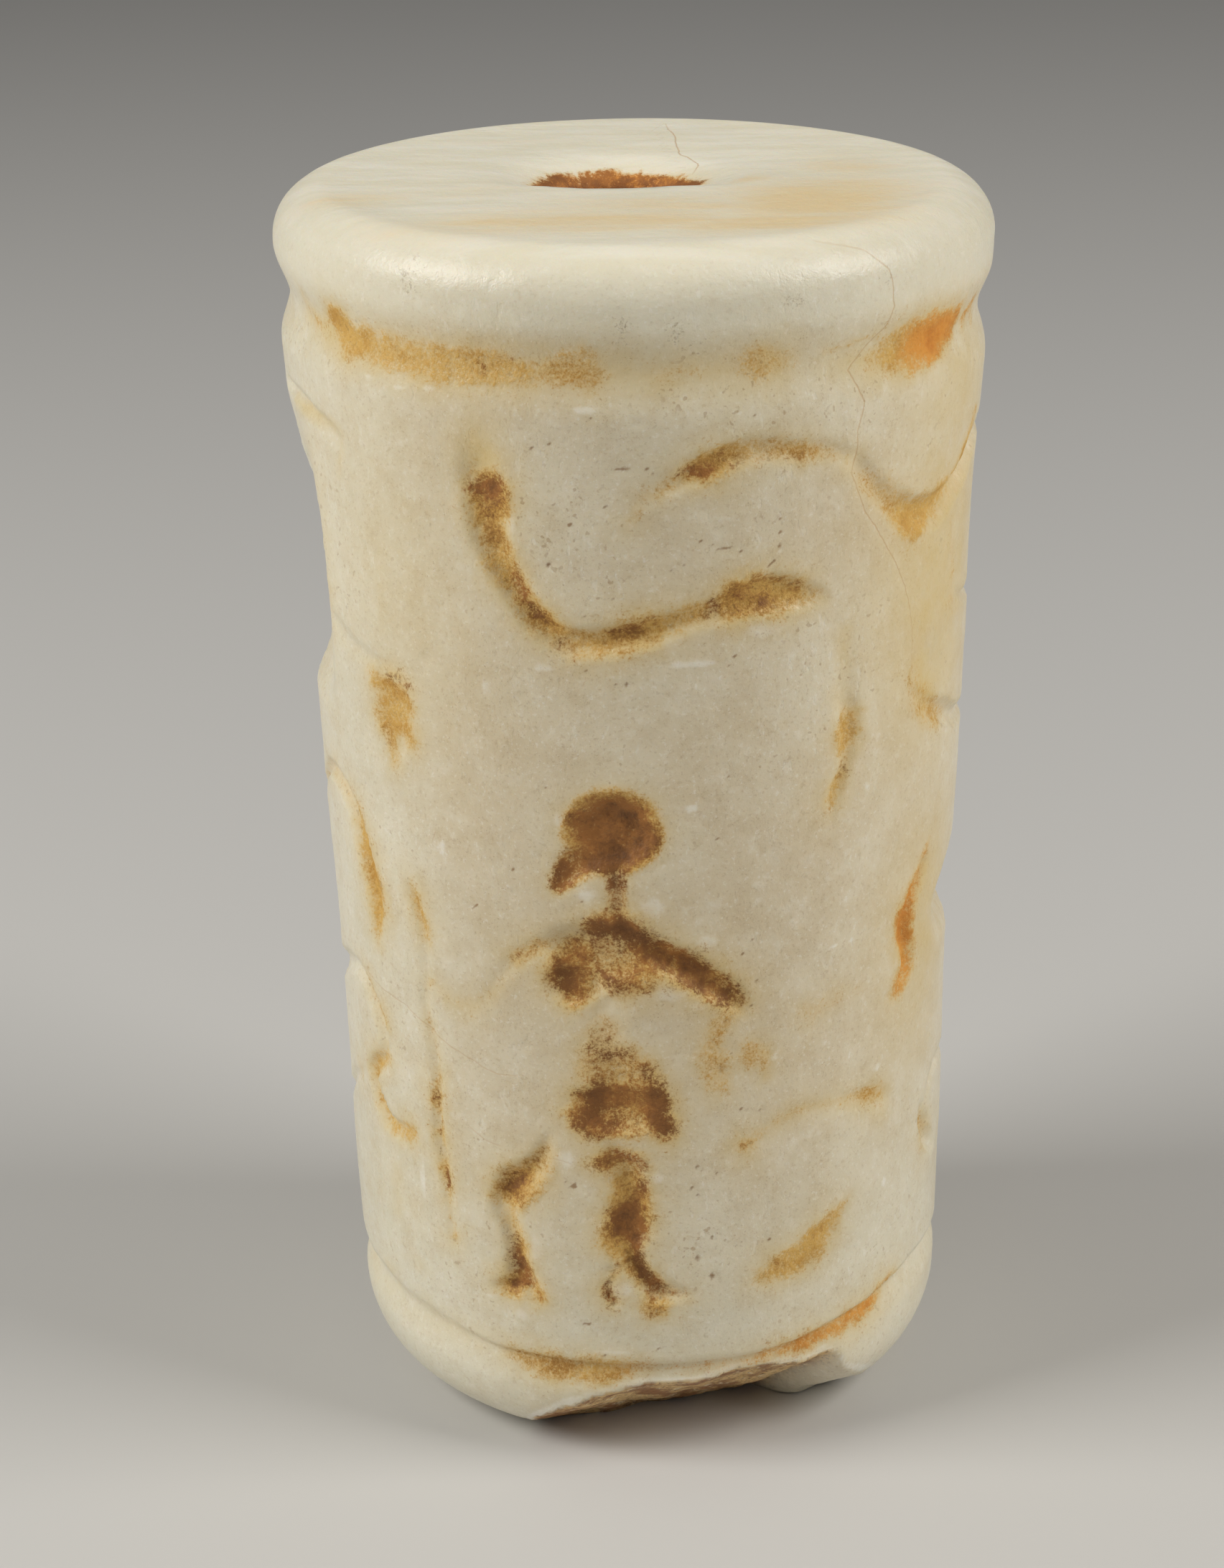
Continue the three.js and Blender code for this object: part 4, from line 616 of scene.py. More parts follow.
def side_radius(z):
    r = np.interp(z, [s[0] for s in SIDE], [s[1] for s in SIDE])
    t = 1 - z / FOOT_ROUNDING
    r = np.where(z < FOOT_ROUNDING,
                 FOOT_FLAT_RADIUS + (SIDE[0][1] - FOOT_FLAT_RADIUS) * np.sqrt(np.clip(1 - t * t, 0, 1)), r)
    start = HEIGHT - RIM_ROUNDING
    t = np.clip((z - start) / RIM_ROUNDING, 0, 1)
    return np.where(z > start, RIM_TOP_RADIUS + (SIDE[-1][1] - RIM_TOP_RADIUS) * np.sqrt(1 - t * t), r)


def lower_groove_z(a):
    right = 0.7 * smooth((a - 18) / 45)
    left = 0.3 * smooth((-a - 25) / 50)
    return 3.15 + np.where(a > 0, right, left) * smooth((180 - np.abs(a)) / 60)


def groove_depth(a, z):
    u = np.abs(z - 29.8 + 0.3 * np.sin(np.radians(a))) / 1.2
    v = z - lower_groove_z(a)
    above = 0.2 + 0.35 * smooth((-a - 32) / 14)
    v = np.where(v > 0, v / above, -v / 1.0)
    return 0.31 * (1 - smooth(u)) + 0.26 * (1 - smooth(v))


def chip_radius(a, z, bump):
    c = np.cos(np.radians(wrap(a - CHIP["angle"])))
    notch = 0.22 * np.exp(-((wrap(a - 34.5) * MM_PER_DEG / 0.5) ** 2)) + 0.14 * np.exp(-((wrap(a + 4) * MM_PER_DEG / 0.9) ** 2))
    r = (CHIP["radius"] - notch - (CHIP["z"] + bump - z) / CHIP["slope"]) / np.maximum(c, 0.2)
    r = r + 0.5 * smooth((a - 37.0) / 3.5) + 0.22 * smooth((a - 39.0) / 4.0)
    return np.where(c < 0.2, 99.0, r)


def build_seal():
    # columns: close together across the front, wider at the back
    fine = np.linspace(-180, 180, 3601)
    density = 0.34 + 0.66 * smooth((128 - np.abs(fine)) / 36)
    total = np.concatenate([[0], np.cumsum((density[1:] + density[:-1]) / 2)])
    angle = np.interp(np.arange(COLUMNS) / COLUMNS * total[-1], total, fine)

    th = np.linspace(0, math.pi / 2, 27)
    foot = FOOT_ROUNDING * (1 - np.cos(th))
    body = np.linspace(FOOT_ROUNDING, 28.6, 228)[1:]
    neck = np.linspace(28.6, HEIGHT - RIM_ROUNDING, 29)[1:]
    rim = HEIGHT - RIM_ROUNDING + RIM_ROUNDING * np.sin(np.linspace(0, math.pi / 2, 17))[1:]
    side_z = np.concatenate([foot, body, neck, rim])
    n_side = len(side_z)

    # the other rows as (radius, z), from the rim inward, down the hole, and out to the foot
    mouth = UPPER_MOUTH[0][0]
    inner = [(r, HEIGHT) for r in np.linspace(RIM_TOP_RADIUS, mouth, 15)[1:]]
    flare = np.array([[mouth, 0.0], [3.0, 0.03], [2.75, 0.085], [2.5, 0.155], [2.3, 0.22], [2.12, 0.31], [2.0, 0.43],
                      [1.95, 0.6], [1.9, 0.85], [1.84, 1.2], [1.79, 1.7], [1.75, 2.3]])
    inner += [(r, HEIGHT - d) for r, d in flare[1:]]
    inner += [(BORE_RADIUS, z) for z in np.linspace(HEIGHT - 2.3, LOWER_MOUTH[1], 5)[1:-1]]
    q = np.linspace(math.pi / 2, 0, 7)
    inner += list(zip(LOWER_MOUTH[0] - (LOWER_MOUTH[0] - BORE_RADIUS) * np.sin(q), LOWER_MOUTH[1] * (1 - np.cos(q))))
    inner += [(-k, 0.0) for k in (0.33, 0.66)]          # shares of the way out to the foot's edge
    rows = n_side + len(inner)

    A = np.tile(angle, rows)
    Z = np.concatenate([np.repeat(side_z, COLUMNS), np.repeat([p[1] for p in inner], COLUMNS)])
    R = np.concatenate([np.repeat(side_radius(side_z), COLUMNS), np.repeat([p[0] for p in inner], COLUMNS)])
    on_side = np.arange(rows * COLUMNS) < n_side * COLUMNS
    t = np.radians(A)
    P = np.stack([R * np.sin(t), -R * np.cos(t), Z], -1)
    offset = np.zeros(len(A))                           # share of the hole's shift off the middle

    names = ("stain", "dark", "halo", "pit", "chip", "depth", "pale", "warm", "top", "gold", "smudge", "polish_and_painted_light", "orange")
    F = {name: np.zeros(len(A)) for name in names}
    crack, crack_on = np.full(len(A), 0.5), np.zeros(len(A))

    s = np.nonzero(on_side)[0]
    a, z, p = A[s], Z[s], P[s]
    # hand-cut edges wander a little
    wa = a + (0.07 * noise(p, 0.9, 3, 2) + 0.05 * noise(p, 3.6, 4, 2)) / MM_PER_DEG
    wz = z + 0.07 * noise(p, 0.9, 5, 2) + 0.05 * noise(p, 3.6, 6, 2)
    # and the dirt's edges more so
    da = wa + (0.1 * noise(p, 1.8, 51, 2) + 0.1 * noise(p, 5.5, 52, 2)) / MM_PER_DEG
    dz = wz + 0.1 * noise(p, 1.8, 53, 2) + 0.1 * noise(p, 5.5, 54, 2)
    cut, st, dk, hl = carve(wa, wz)
    facing = smooth((np.abs(a) - 50) / 28)                                # 0 across the front, 1 at the sides and back
    cut = cut * smooth((z - 3.9) / 0.5) * smooth((29.3 - z) / 0.4) * (0.6 + 0.4 * facing)
    dirt, around = spread(da, dz, STAINS, 0.34, tail=0.34, glow=0.8, reach=0.42)
    browner = np.zeros(len(a))
    for name, level in BROWN.items():
        browner = np.maximum(browner, level * spread(da, dz, {name: STAINS[name]}, 0.4, tail=0.4)[0])
    F["orange"][s], _ = spread(da, dz, {name: STAINS[name] for name in ORANGE}, 0.5)
    murk, _ = spread(da, dz, DARKS, 0.26, tail=0.3)
    soft_glow, _ = spread(wa, wz, GLOWS, 0.9)
    st, dk = np.maximum(st, dirt), np.maximum(np.maximum(dk, 0.86 * murk), browner)
    hl = np.maximum(np.maximum(hl, around), soft_glow)
    for (ca, cz), (hx, hz), amount in HALOS:
        hl = np.maximum(hl, amount * np.exp(-((wrap(a - ca) * MM_PER_DEG / hx) ** 2 + ((z - cz) / hz) ** 2)))

    worn = 0.24 * np.exp(-(((a - 6) / 24) ** 2)) * smooth((z - 20) / 5)
    groove = groove_depth(wa, z + 0.05 * noise(p, 0.5, 8, 2)) * (0.7 + 0.3 * facing - worn)
    flat = FLATTENING * np.clip(np.sin(np.radians(a)), 0, 1) * smooth((z - 2.6) / 3) * smooth((28.5 - z) / 3)
    tooled = np.clip(cut / 0.25, 0, 1)
    radius = side_radius(z) - groove - cut - flat
    radius += tooled * (0.045 * noise(p, 3.2, 9, 2))                       # rough floor of the cuts
    radius += 0.03 * np.clip(st * 1.3, 0, 1) * noise(p, 5.0, 13, 2)
    radius += smooth(z / 2) * (0.05 * noise(p, 0.16, 10, 2) + 0.016 * noise(p, 0.8, 11, 2) + 0.005 * noise(p, 3.2, 12, 2))
    # bruised rise at the edges of the deeper cuts
    lip = np.exp(-((cut - 0.05) / 0.04) ** 2)
    radius += 0.018 * lip * (0.5 + 0.5 * noise(p, 1.3, 16, 2)) * smooth((z - 4) / 1)
    # the stone to the right of the long crack stands a hair lower
    line = np.interp(z, [21.4, 22.3, 23.2, 24.2, 25.1, 25.9, 26.9, 29.4, 31.0, 32.0], [51.8, 51.5, 50, 46.5, 42, 37.8, 35.3, 35, 42, 42])
    past = smooth((a - line) * MM_PER_DEG / 0.12 + 0.5) * smooth((z - 20.5) / 1.5) * smooth((105 - a) / 20)
    radius -= 0.03 * past * smooth((z - 22) / 1) * smooth((29.0 - z) / 0.6)

    for k, (pa, pz, size) in enumerate(DOTS):
        idx = near(a, z, pa, pa, pz, pz, 0.5)
        d = np.hypot(wrap(a[idx] - pa) * MM_PER_DEG, z[idx] - pz)
        spot = idx[np.argmin(d)]
        pa, pz = a[spot], z[spot]                                          # sit it on a vertex
        reach = max(size * 0.95, 0.08)
        d = np.hypot(wrap(a[idx] - pa) * MM_PER_DEG, z[idx] - pz) / reach
        radius[idx] -= 0.35 * reach * np.clip(1 - d * d, 0, 1)
        level = 0.72 + 0.24 * ((k * 7) % 5) / 4
        F["pit"][s[idx]] = np.maximum(F["pit"][s[idx]], level * np.clip(1.35 - d, 0, 1))
    rng = np.random.RandomState(SEED)
    for _ in range(320):
        pa, pz = rng.uniform(-180, 180), rng.uniform(4.2, 29.0)
        pr, pd, darkness = rng.uniform(0.08, 0.17), rng.uniform(0.015, 0.05), rng.uniform(0.0, 0.5)
        idx = near(a, z, pa, pa, pz, pz, pr * 2.2)
        d = np.hypot(wrap(a[idx] - pa) * MM_PER_DEG, z[idx] - pz) / pr
        radius[idx] -= pd * np.clip(1 - d * d, 0, 1)
        F["pit"][s[idx]] = np.maximum(F["pit"][s[idx]], darkness * np.clip(1.4 - d, 0, 1))
    # painted highlight: the listed pale marks include lit lower edges of cuts and the groove's shoulder; the random
    # ones are pale bruising
    bruises_and_highlights = [(pa, pz, hx, hz, 1.0) for pa, pz, hx, hz in PALES]
    bruises_and_highlights += [(rng.uniform(-180, 180), rng.uniform(4, 30), rng.uniform(0.08, 0.3), rng.uniform(0.06, 0.3), rng.uniform(0.15, 0.5))
                for _ in range(120)]
    for pa, pz, hx, hz, level in bruises_and_highlights:
        hx, hz = max(hx, 0.14) * 0.6, max(hz, 0.14) * 0.6
        idx = near(a, z, pa, pa, pz, pz, max(hx, hz) * 2.6)
        d2 = (wrap(a[idx] - pa) * MM_PER_DEG / hx) ** 2 + ((z[idx] - pz) / hz) ** 2
        F["pale"][s[idx]] = np.maximum(F["pale"][s[idx]], level * np.exp(-0.8 * d2))
        radius[idx] += 0.012 * level * np.exp(-d2)
    for pa, pz, hx, hz, level in SMUDGES:
        d2 = (wrap(a - pa) * MM_PER_DEG / hx) ** 2 + ((z - pz) / hz) ** 2
        F["smudge"][s] = np.maximum(F["smudge"][s], level * np.exp(-d2))

    c_signed, c_on = crack_field(a + 0.05 * noise(p, 2.2, 14, 2) / MM_PER_DEG, z + 0.05 * noise(p, 2.2, 15, 2))
    crack[s], crack_on[s] = c_signed, c_on

    # the break at the foot: rough, with small steps
    bump = 0.15 * noise(p, 0.8, 21, 2) + 0.06 * noise(p, 2.6, 22, 3)
    cr = chip_radius(a, z, bump)
    broken = smooth((radius - cr) / 0.05 + 0.5)
    crumbs = np.exp(-((radius - cr + 0.16) / 0.16) ** 2) * (1 - broken)     # bruised edge of the break
    radius = np.minimum(radius, cr)
    radius -= 0.05 * crumbs * (0.5 + 0.5 * noise(p, 3.0, 23, 2))
    # painted highlight: the break's upper edge is painted pale, over the crumbled stone there
    F["pale"][s] = np.maximum(F["pale"][s], 0.95 * crumbs)
    st, hl, dk = st * (1 - broken), hl * (1 - broken), dk * (1 - broken)
    R[s] = radius

    # where the stone is warmer: the front and right of the body, less at both bands
    warm = 0.25 + 0.55 * smooth((a + 62) / 40) * smooth((180 - np.abs(a)) / 50)
    warm = np.maximum(warm, 0.95 * past)
    warm *= 0.25 + 0.75 * smooth((z - 3.0) / 8.0)
    warm *= (1 - 0.6 * smooth((z - 30.4) / 0.8)) * (1 - 0.35 * smooth((z - 25.5) / 3) * smooth((a + 20) / 25))
    warm += 0.22 * noise(p, 0.22, 41, 3)
    # painted light: paler towards the rim, over the foot band and round both sides, where the lamps fall; on the rim it
    # also marks the smoother polish
    F["polish_and_painted_light"][s] = smooth((z - 30.3) / 0.9) + 0.35 * smooth((-z + 5.5) / 3) + 0.25 * smooth((np.abs(a) - 25) / 30)
    F["chip"][s], F["warm"][s] = broken * (1 - 0.9 * smooth((a - 35.5) / 4.0)), np.clip(warm, 0, 1)
    F["depth"][s], F["stain"][s], F["dark"][s], F["halo"][s] = cut + groove, st, dk, hl
    F["top"][s] = smooth((z - (HEIGHT - 0.9)) / 0.9)

    # faces and hole
    foot_edge = R[:COLUMNS]
    tt = np.radians(angle)
    xy = np.stack([R * np.sin(t), -R * np.cos(t)], -1)
    centre = np.array(BORE_CENTRE)
    foot_mouth = centre + LOWER_MOUTH[0] * np.stack([np.sin(tt), -np.cos(tt)], -1)
    foot_xy = np.stack([foot_edge * np.sin(tt), -foot_edge * np.cos(tt)], -1)
    for j, (r, zz) in enumerate(inner):
        k = (n_side + j) * COLUMNS + np.arange(COLUMNS)
        if r < 0:
            xy[k] = foot_mouth + (-r) * (foot_xy - foot_mouth)
            F["warm"][k] = 0.3
            continue
        share = min(1.0, (RIM_TOP_RADIUS - r) / (RIM_TOP_RADIUS - mouth)) if zz == HEIGHT else 1.0
        q = np.stack([r * np.sin(tt), -r * np.cos(tt), np.full(COLUMNS, zz)], -1)
        front = smooth((np.cos(tt + 0.12) - 0.15) / 0.6) * smooth((zz - 28) / 2)
        r = r - np.clip(r - 1.9, 0, None) * 0.8 * front * smooth((4.6 - r) / 1.3)
        rr = r + (0.05 * noise(q, 0.7, 31, 2) * smooth((RIM_TOP_RADIUS - r) / 0.5) if zz > 2.0 else 0.0)
        ahead = rr * np.cos(tt)
        straight = 0.5 * smooth((5.0 - r) / 2.4) * smooth((zz - 31.6) / 0.8)
        ahead = np.where(ahead > 1.2, 1.2 + (ahead - 1.2) * (1 - straight), ahead)
        xy[k] = share * centre + np.stack([rr * np.sin(tt), -ahead], -1)
        w = np.concatenate([xy[k], np.full((COLUMNS, 1), zz)], -1)
        deep = HEIGHT - zz
        # painted light: the upper face and the hole are painted paler too
        F["polish_and_painted_light"][k] = 0.6
        if deep < 0.9:
            # worn upper face: slightly dished, with a shallow scoop behind and beside the hole
            sag = 0.02 + 0.03 * (noise(w, 0.35, 32, 2) + 1) * smooth((RIM_TOP_RADIUS - r) / 1.5)
            scoop = 0.17 * np.exp(-((w[:, 0] + 0.2) / 3.6) ** 2 - ((w[:, 1] - 1.7) / 1.9) ** 2)
            Z[k] = zz - sag - scoop * smooth((RIM_TOP_RADIUS - r) / 2.0) + 0.006 * noise(w, 2.5, 34, 2)
            F["top"][k] = 1.0 - smooth((deep - 0.32) / 0.4)
            F["warm"][k] = 0.2 + 0.12 * noise(w, 0.4, 42, 2)
        far = smooth((w[:, 1] + 1.2) / 2.4)                               # the wall that shows from the front
        ragged = 0.07 * noise(w, 1.6, 35, 3) + 0.05 * noise(w, 5.0, 36, 2)
        near_side = 1 - far
        wall = smooth((deep - 0.17 - 1.05 * near_side + 1.3 * ragged) / 0.09)
        F["stain"][k] = np.maximum(wall * (0.95 - 0.35 * smooth((deep - 4) / 8)), 0.4 * smooth((deep - 0.1 + ragged) / 0.2) * far)
        F["halo"][k] = 0.7 * smooth((deep - 0.02 - 0.9 * near_side) / 0.6)
        F["orange"][k] = wall
        # painted shade: the wall's orange deposit is browned, and more so deeper down the hole
        F["dark"][k] = wall * (0.44 + 0.25 * noise(w, 1.2, 37, 3) + 0.2 * smooth((deep - 2.0) / 5))
        if zz < 2.0:
            F["stain"][k], F["dark"][k], F["halo"][k] = 0.3 * smooth(zz / 1.5), 0.1, 0.5
    face = np.nonzero(F["top"] > 0.01)[0]
    X, Y = xy[face, 0], xy[face, 1]
    for (gx, gy), (hx, hy), turn, amount in GOLD:
        c, sn = math.cos(math.radians(turn)), math.sin(math.radians(turn))
        u, v = (X - gx) * c + (Y - gy) * sn, -(X - gx) * sn + (Y - gy) * c
        F["gold"][face] = np.maximum(F["gold"][face], amount * np.exp(-((u / hx) ** 2 + (v / hy) ** 2)) * F["top"][face])
    lx, ly = np.array(TOP_CRACK).T
    q = np.stack([X, Y, np.zeros(len(X))], -1)
    c_signed, c_on, best = nearest_line(X + 0.06 * noise(q, 1.8, 44, 2), Y + 0.06 * noise(q, 1.8, 45, 2), lx, ly, 0.75)
    take = (best < 0.5) & (c_on > crack_on[face])
    crack[face[take]], crack_on[face[take]] = c_signed[take], c_on[take]

    lean = TOP_TILT * (xy[:, 0] + SIDE[-1][1]) * smooth((Z - 29.6) / 2.0)
    lean += 0.03 * smooth((np.hypot(xy[:, 0], xy[:, 1]) - 5.6) / 2.4) * smooth((Z - 31.3) / 1.3)      # worn shoulder of the rim
    co = np.stack([xy[:, 0], xy[:, 1], Z - lean], -1) * MM
    i, j = np.meshgrid(np.arange(rows), np.arange(COLUMNS), indexing="ij")
    i2, j2 = (i + 1) % rows, (j + 1) % COLUMNS
    quads = np.stack([i * COLUMNS + j, i * COLUMNS + j2, i2 * COLUMNS + j2, i2 * COLUMNS + j], -1).reshape(-1, 4)

    mesh = bpy.data.meshes.new("seal_stone")
    mesh.vertices.add(len(co))
    mesh.vertices.foreach_set("co", co.astype(np.float32).ravel())
    mesh.loops.add(quads.size)
    mesh.loops.foreach_set("vertex_index", quads.astype(np.int32).ravel())
    mesh.polygons.add(len(quads))
    mesh.polygons.foreach_set("loop_start", np.arange(0, quads.size, 4, dtype=np.int32))
    mesh.update(calc_edges=True)
    mesh.validate()
    mesh.polygons.foreach_set("use_smooth", np.ones(len(quads), bool))
    F["crack"], F["crack_on"] = crack, crack_on
    for name, values in F.items():
        mesh.attributes.new(name, "FLOAT", "POINT").data.foreach_set("value", values.astype(np.float32))
    obj = bpy.data.objects.new("seal_stone", mesh)
    bpy.context.scene.collection.objects.link(obj)
    return obj


# ---------------------------------------------------------------- stone material

def srgb(r, g, b):
    f = lambda c: c / 12.92 if c <= 0.04045 else ((c + 0.055) / 1.055) ** 2.4
    return (f(r / 255), f(g / 255), f(b / 255), 1.0)


class Graph:
    """Small helper that adds and links shader nodes."""

    def __init__(self, material):
        material.use_nodes = True
        self.tree = material.node_tree
        self.tree.nodes.clear()

    def add(self, kind, **settings):
        node = self.tree.nodes.new(kind)
        for key, value in settings.items():
            setattr(node, key, value)
        return node

    def put(self, socket, value):
        if isinstance(value, bpy.types.NodeSocket):
            self.tree.links.new(value, socket)
        else:
            socket.default_value = value

    def math(self, op, a, b=0.0, c=None, clamp=False):
        n = self.add("ShaderNodeMath", operation=op, use_clamp=clamp)
        self.put(n.inputs[0], a)
        self.put(n.inputs[1], b)
        if c is not None:
            self.put(n.inputs[2], c)
        return n.outputs[0]

    def mul(self, a, b, clamp=False):
        return self.math("MULTIPLY", a, b, clamp=clamp)

    def plus(self, a, b, clamp=False):
        return self.math("ADD", a, b, clamp=clamp)

    def centred(self, value, gain):
        return self.mul(self.math("SUBTRACT", value, 0.5), gain)

    def step(self, value, low, high):
        n = self.add("ShaderNodeMapRange", interpolation_type="SMOOTHSTEP", clamp=True)
        self.put(n.inputs["Value"], value)
        n.inputs["From Min"].default_value = low
        n.inputs["From Max"].default_value = high
        return n.outputs["Result"]

    def mix(self, factor, a, b, mode="MIX"):
        n = self.add("ShaderNodeMix", data_type="RGBA", blend_type=mode)
        self.put(n.inputs[0], factor)
        self.put(n.inputs[6], a)
        self.put(n.inputs[7], b)
        return n.outputs[2]

    def noise(self, scale, detail=3.0, rough=0.55, distortion=0.0, vector=None):
        n = self.add("ShaderNodeTexNoise")
        self.put(n.inputs["Vector"], vector or self.coords)
        n.inputs["Scale"].default_value = scale
        n.inputs["Detail"].default_value = detail
        n.inputs["Roughness"].default_value = rough
        n.inputs["Distortion"].default_value = distortion
        return n.outputs["Fac"]

    def stretched(self, scale, rotation=(0.0, 0.0, 0.0)):
        n = self.add("ShaderNodeMapping")
        self.put(n.inputs["Vector"], self.coords)
        n.inputs["Rotation"].default_value = rotation
        n.inputs["Scale"].default_value = scale
        return n.outputs[0]

    def field(self, name):
        return self.add("ShaderNodeAttribute", attribute_name=name).outputs["Fac"]


def stone_material():
    material = bpy.data.materials.new("stone")
    g = Graph(material)
    out = g.add("ShaderNodeOutputMaterial")
    shader = g.add("ShaderNodeBsdfPrincipled")
    g.tree.links.new(shader.outputs[0], out.inputs[0])
    g.coords = g.add("ShaderNodeTexCoord").outputs["Object"]

    stain, dark, halo, pit, chip, pale, warm, top, gold, smudge, polish_and_painted_light, orange = (
        g.field(n) for n in ("stain", "dark", "halo", "pit", "chip", "pale", "warm", "top", "gold", "smudge", "polish_and_painted_light", "orange"))

    clouds = g.noise(230, 3, 0.6)                   # 4 mm
    coarse = g.noise(1000, 3, 0.62)                 # 1 mm
    ragged = g.noise(2600, 4, 0.7)                  # 0.4 mm and finer
    grainy = g.noise(9500, 2, 0.6)                  # 0.1 mm
    sandy = g.noise(21000, 1, 0.5)                  # 0.05 mm

    # the stone itself: cream, with soft clouds, fine pale flecks and short pale scratches
    quiet = g.math("SUBTRACT", 1.0, g.mul(polish_and_painted_light, 0.45))
    colour = g.mix(warm, srgb(224, 219, 197), srgb(220, 203, 170))
    colour = g.mix(g.mul(g.step(clouds, 0.38, 0.66), 0.55), colour, srgb(234, 225, 200))
    colour = g.mix(g.mul(g.mul(g.step(coarse, 0.47, 0.7), 0.3), quiet), colour, srgb(203, 183, 146))
    colour = g.mix(g.mul(g.step(coarse, 0.47, 0.3), 0.26), colour, srgb(240, 233, 213))
    # painted light: paler on the rim, the faces, the foot band and both sides, where the lamps fall
    colour = g.mix(g.mul(polish_and_painted_light, 0.42), colour, srgb(238, 232, 210))
    colour = g.mix(g.mul(g.step(ragged, 0.53, 0.72), 0.3), colour, srgb(246, 241, 225))
    colour = g.mix(g.mul(g.mul(g.step(ragged, 0.45, 0.28), 0.24), quiet), colour, srgb(196, 172, 128))
    streaks = g.noise(4200, 2, 0.55, vector=g.stretched((1.0, 1.0, 0.5), (0.5, 0.35, 0.0)))
    colour = g.mix(g.mul(g.mul(g.step(streaks, 0.6, 0.7), 0.3), g.step(clouds, 0.46, 0.6)), colour, srgb(248, 245, 232))
    colour = g.mix(g.mul(g.mul(g.step(grainy, 0.58, 0.68), 0.22), quiet), colour, srgb(168, 140, 98))
    colour = g.mix(g.mul(g.step(grainy, 0.4, 0.3), 0.3), colour, srgb(250, 247, 238))
    # pale bruising, with painted highlights on lit cut edges, the groove's shoulder and the break's upper edge
    pale_bruise_and_highlight = g.mul(g.step(g.plus(pale, g.plus(g.centred(ragged, 1.2), g.centred(grainy, 0.4))), 0.3, 0.85), g.step(pale, 0.02, 0.3))
    colour = g.mix(g.mul(pale_bruise_and_highlight, 0.55), colour, srgb(248, 245, 234))

    # upper face: painted paler than the sides, partly the stone's own tone and partly painted light on the face that
    # looks up; fine faint streaks along x, white and gold
    along_x = g.noise(1500, 4, 0.6, vector=g.stretched((0.2, 1.0, 1.0), (0.0, 0.0, 0.06)))
    face = g.mix(g.step(along_x, 0.36, 0.66), srgb(236, 229, 204), srgb(246, 241, 224))
    face = g.mix(g.mul(g.step(clouds, 0.4, 0.62), 0.35), face, srgb(240, 230, 201))
    face = g.mix(g.mul(g.step(along_x, 0.58, 0.72), 0.4), face, srgb(252, 249, 238))
    golden = g.step(g.plus(gold, g.centred(along_x, 1.1)), 0.06, 0.85)
    face = g.mix(g.mul(golden, 0.85), face, srgb(236, 204, 142))
    colour = g.mix(g.mul(top, 0.8), colour, face)

    # yellowing round the dirt
    glow = g.mul(halo, g.plus(0.62, coarse), clamp=True)
    colour = g.mix(g.mul(glow, 0.85), colour, srgb(221, 192, 118))

    # dirt in the cuts: grains that thin out towards the edges, over a thin wash; down the hole these browns also carry
    # painted shade
    jitter = g.plus(g.plus(g.centred(ragged, 0.9), g.centred(coarse, 0.4)), g.plus(g.centred(grainy, 0.95), g.centred(sandy, 0.65)))
    spread_out = g.plus(stain, jitter)
    present = g.step(stain, 0.02, 0.16)
    covered = g.mul(g.step(spread_out, 0.24, 0.82), present)
    wash = g.mul(g.step(stain, 0.06, 0.75), g.plus(0.3, coarse), clamp=True)
    ochre = g.mix(g.step(coarse, 0.4, 0.62), srgb(216, 172, 88), srgb(198, 148, 64))
    ochre = g.mix(g.mul(orange, 0.85), ochre, g.mix(g.step(coarse, 0.4, 0.62), srgb(228, 144, 38), srgb(208, 120, 20)))
    brown_tone = g.mix(g.step(coarse, 0.4, 0.62), srgb(158, 94, 30), srgb(116, 62, 12))
    brown_amount = g.step(g.plus(dark, g.centred(ragged, 0.5)), 0.14, 0.7)
    colour = g.mix(g.mul(wash, 0.62), colour, g.mix(g.mul(brown_amount, 0.7), srgb(222, 180, 98), srgb(184, 142, 80)))
    murk = g.plus(dark, g.plus(g.mul(jitter, 0.65), g.centred(coarse, 0.7)))
    brown = g.mul(g.step(murk, 0.02, 0.5), g.step(dark, 0.02, 0.2))
    tone = g.mix(g.mul(brown, 0.9), ochre, brown_tone)
    tone = g.mix(g.mul(g.step(murk, 0.55, 1.2), 0.9), tone, srgb(82, 44, 12))
    colour = g.mix(g.mul(covered, 0.95), colour, tone)
    specks = g.mul(g.step(g.noise(8200, 2, 0.6), 0.57, 0.67), g.step(g.plus(g.mul(stain, 0.6), dark), 0.06, 0.9))
    specks = g.mul(specks, g.math("SUBTRACT", 1.0, g.mul(orange, 0.85)))
    colour = g.mix(g.mul(specks, 0.42), colour, srgb(120, 74, 30))

    # stray dots of dirt on the open stone, thicker in patches
    open_stone = g.math("SUBTRACT", 1.0, g.math("MAXIMUM", top, g.mul(polish_and_painted_light, 0.8)))
    dots = g.mul(g.mul(g.step(g.noise(5600, 1, 0.5), 0.67, 0.73), g.step(clouds, 0.5, 0.62)), open_stone)
    colour = g.mix(g.mul(dots, 0.4), colour, srgb(160, 122, 72))
    tiny = g.mul(g.mul(g.step(sandy, 0.66, 0.74), g.step(coarse, 0.42, 0.62)), open_stone)
    colour = g.mix(g.mul(tiny, 0.34), colour, srgb(150, 110, 62))
    holes = g.step(g.plus(pit, g.plus(g.centred(ragged, 0.6), g.centred(grainy, 0.5))), 0.42, 0.9)
    colour = g.mix(g.mul(holes, 0.7), colour, srgb(142, 98, 48))
    dirty = g.mul(g.step(g.plus(smudge, jitter), 0.26, 0.7), g.step(smudge, 0.03, 0.16))
    colour = g.mix(g.mul(dirty, 0.62), colour, srgb(156, 136, 100))

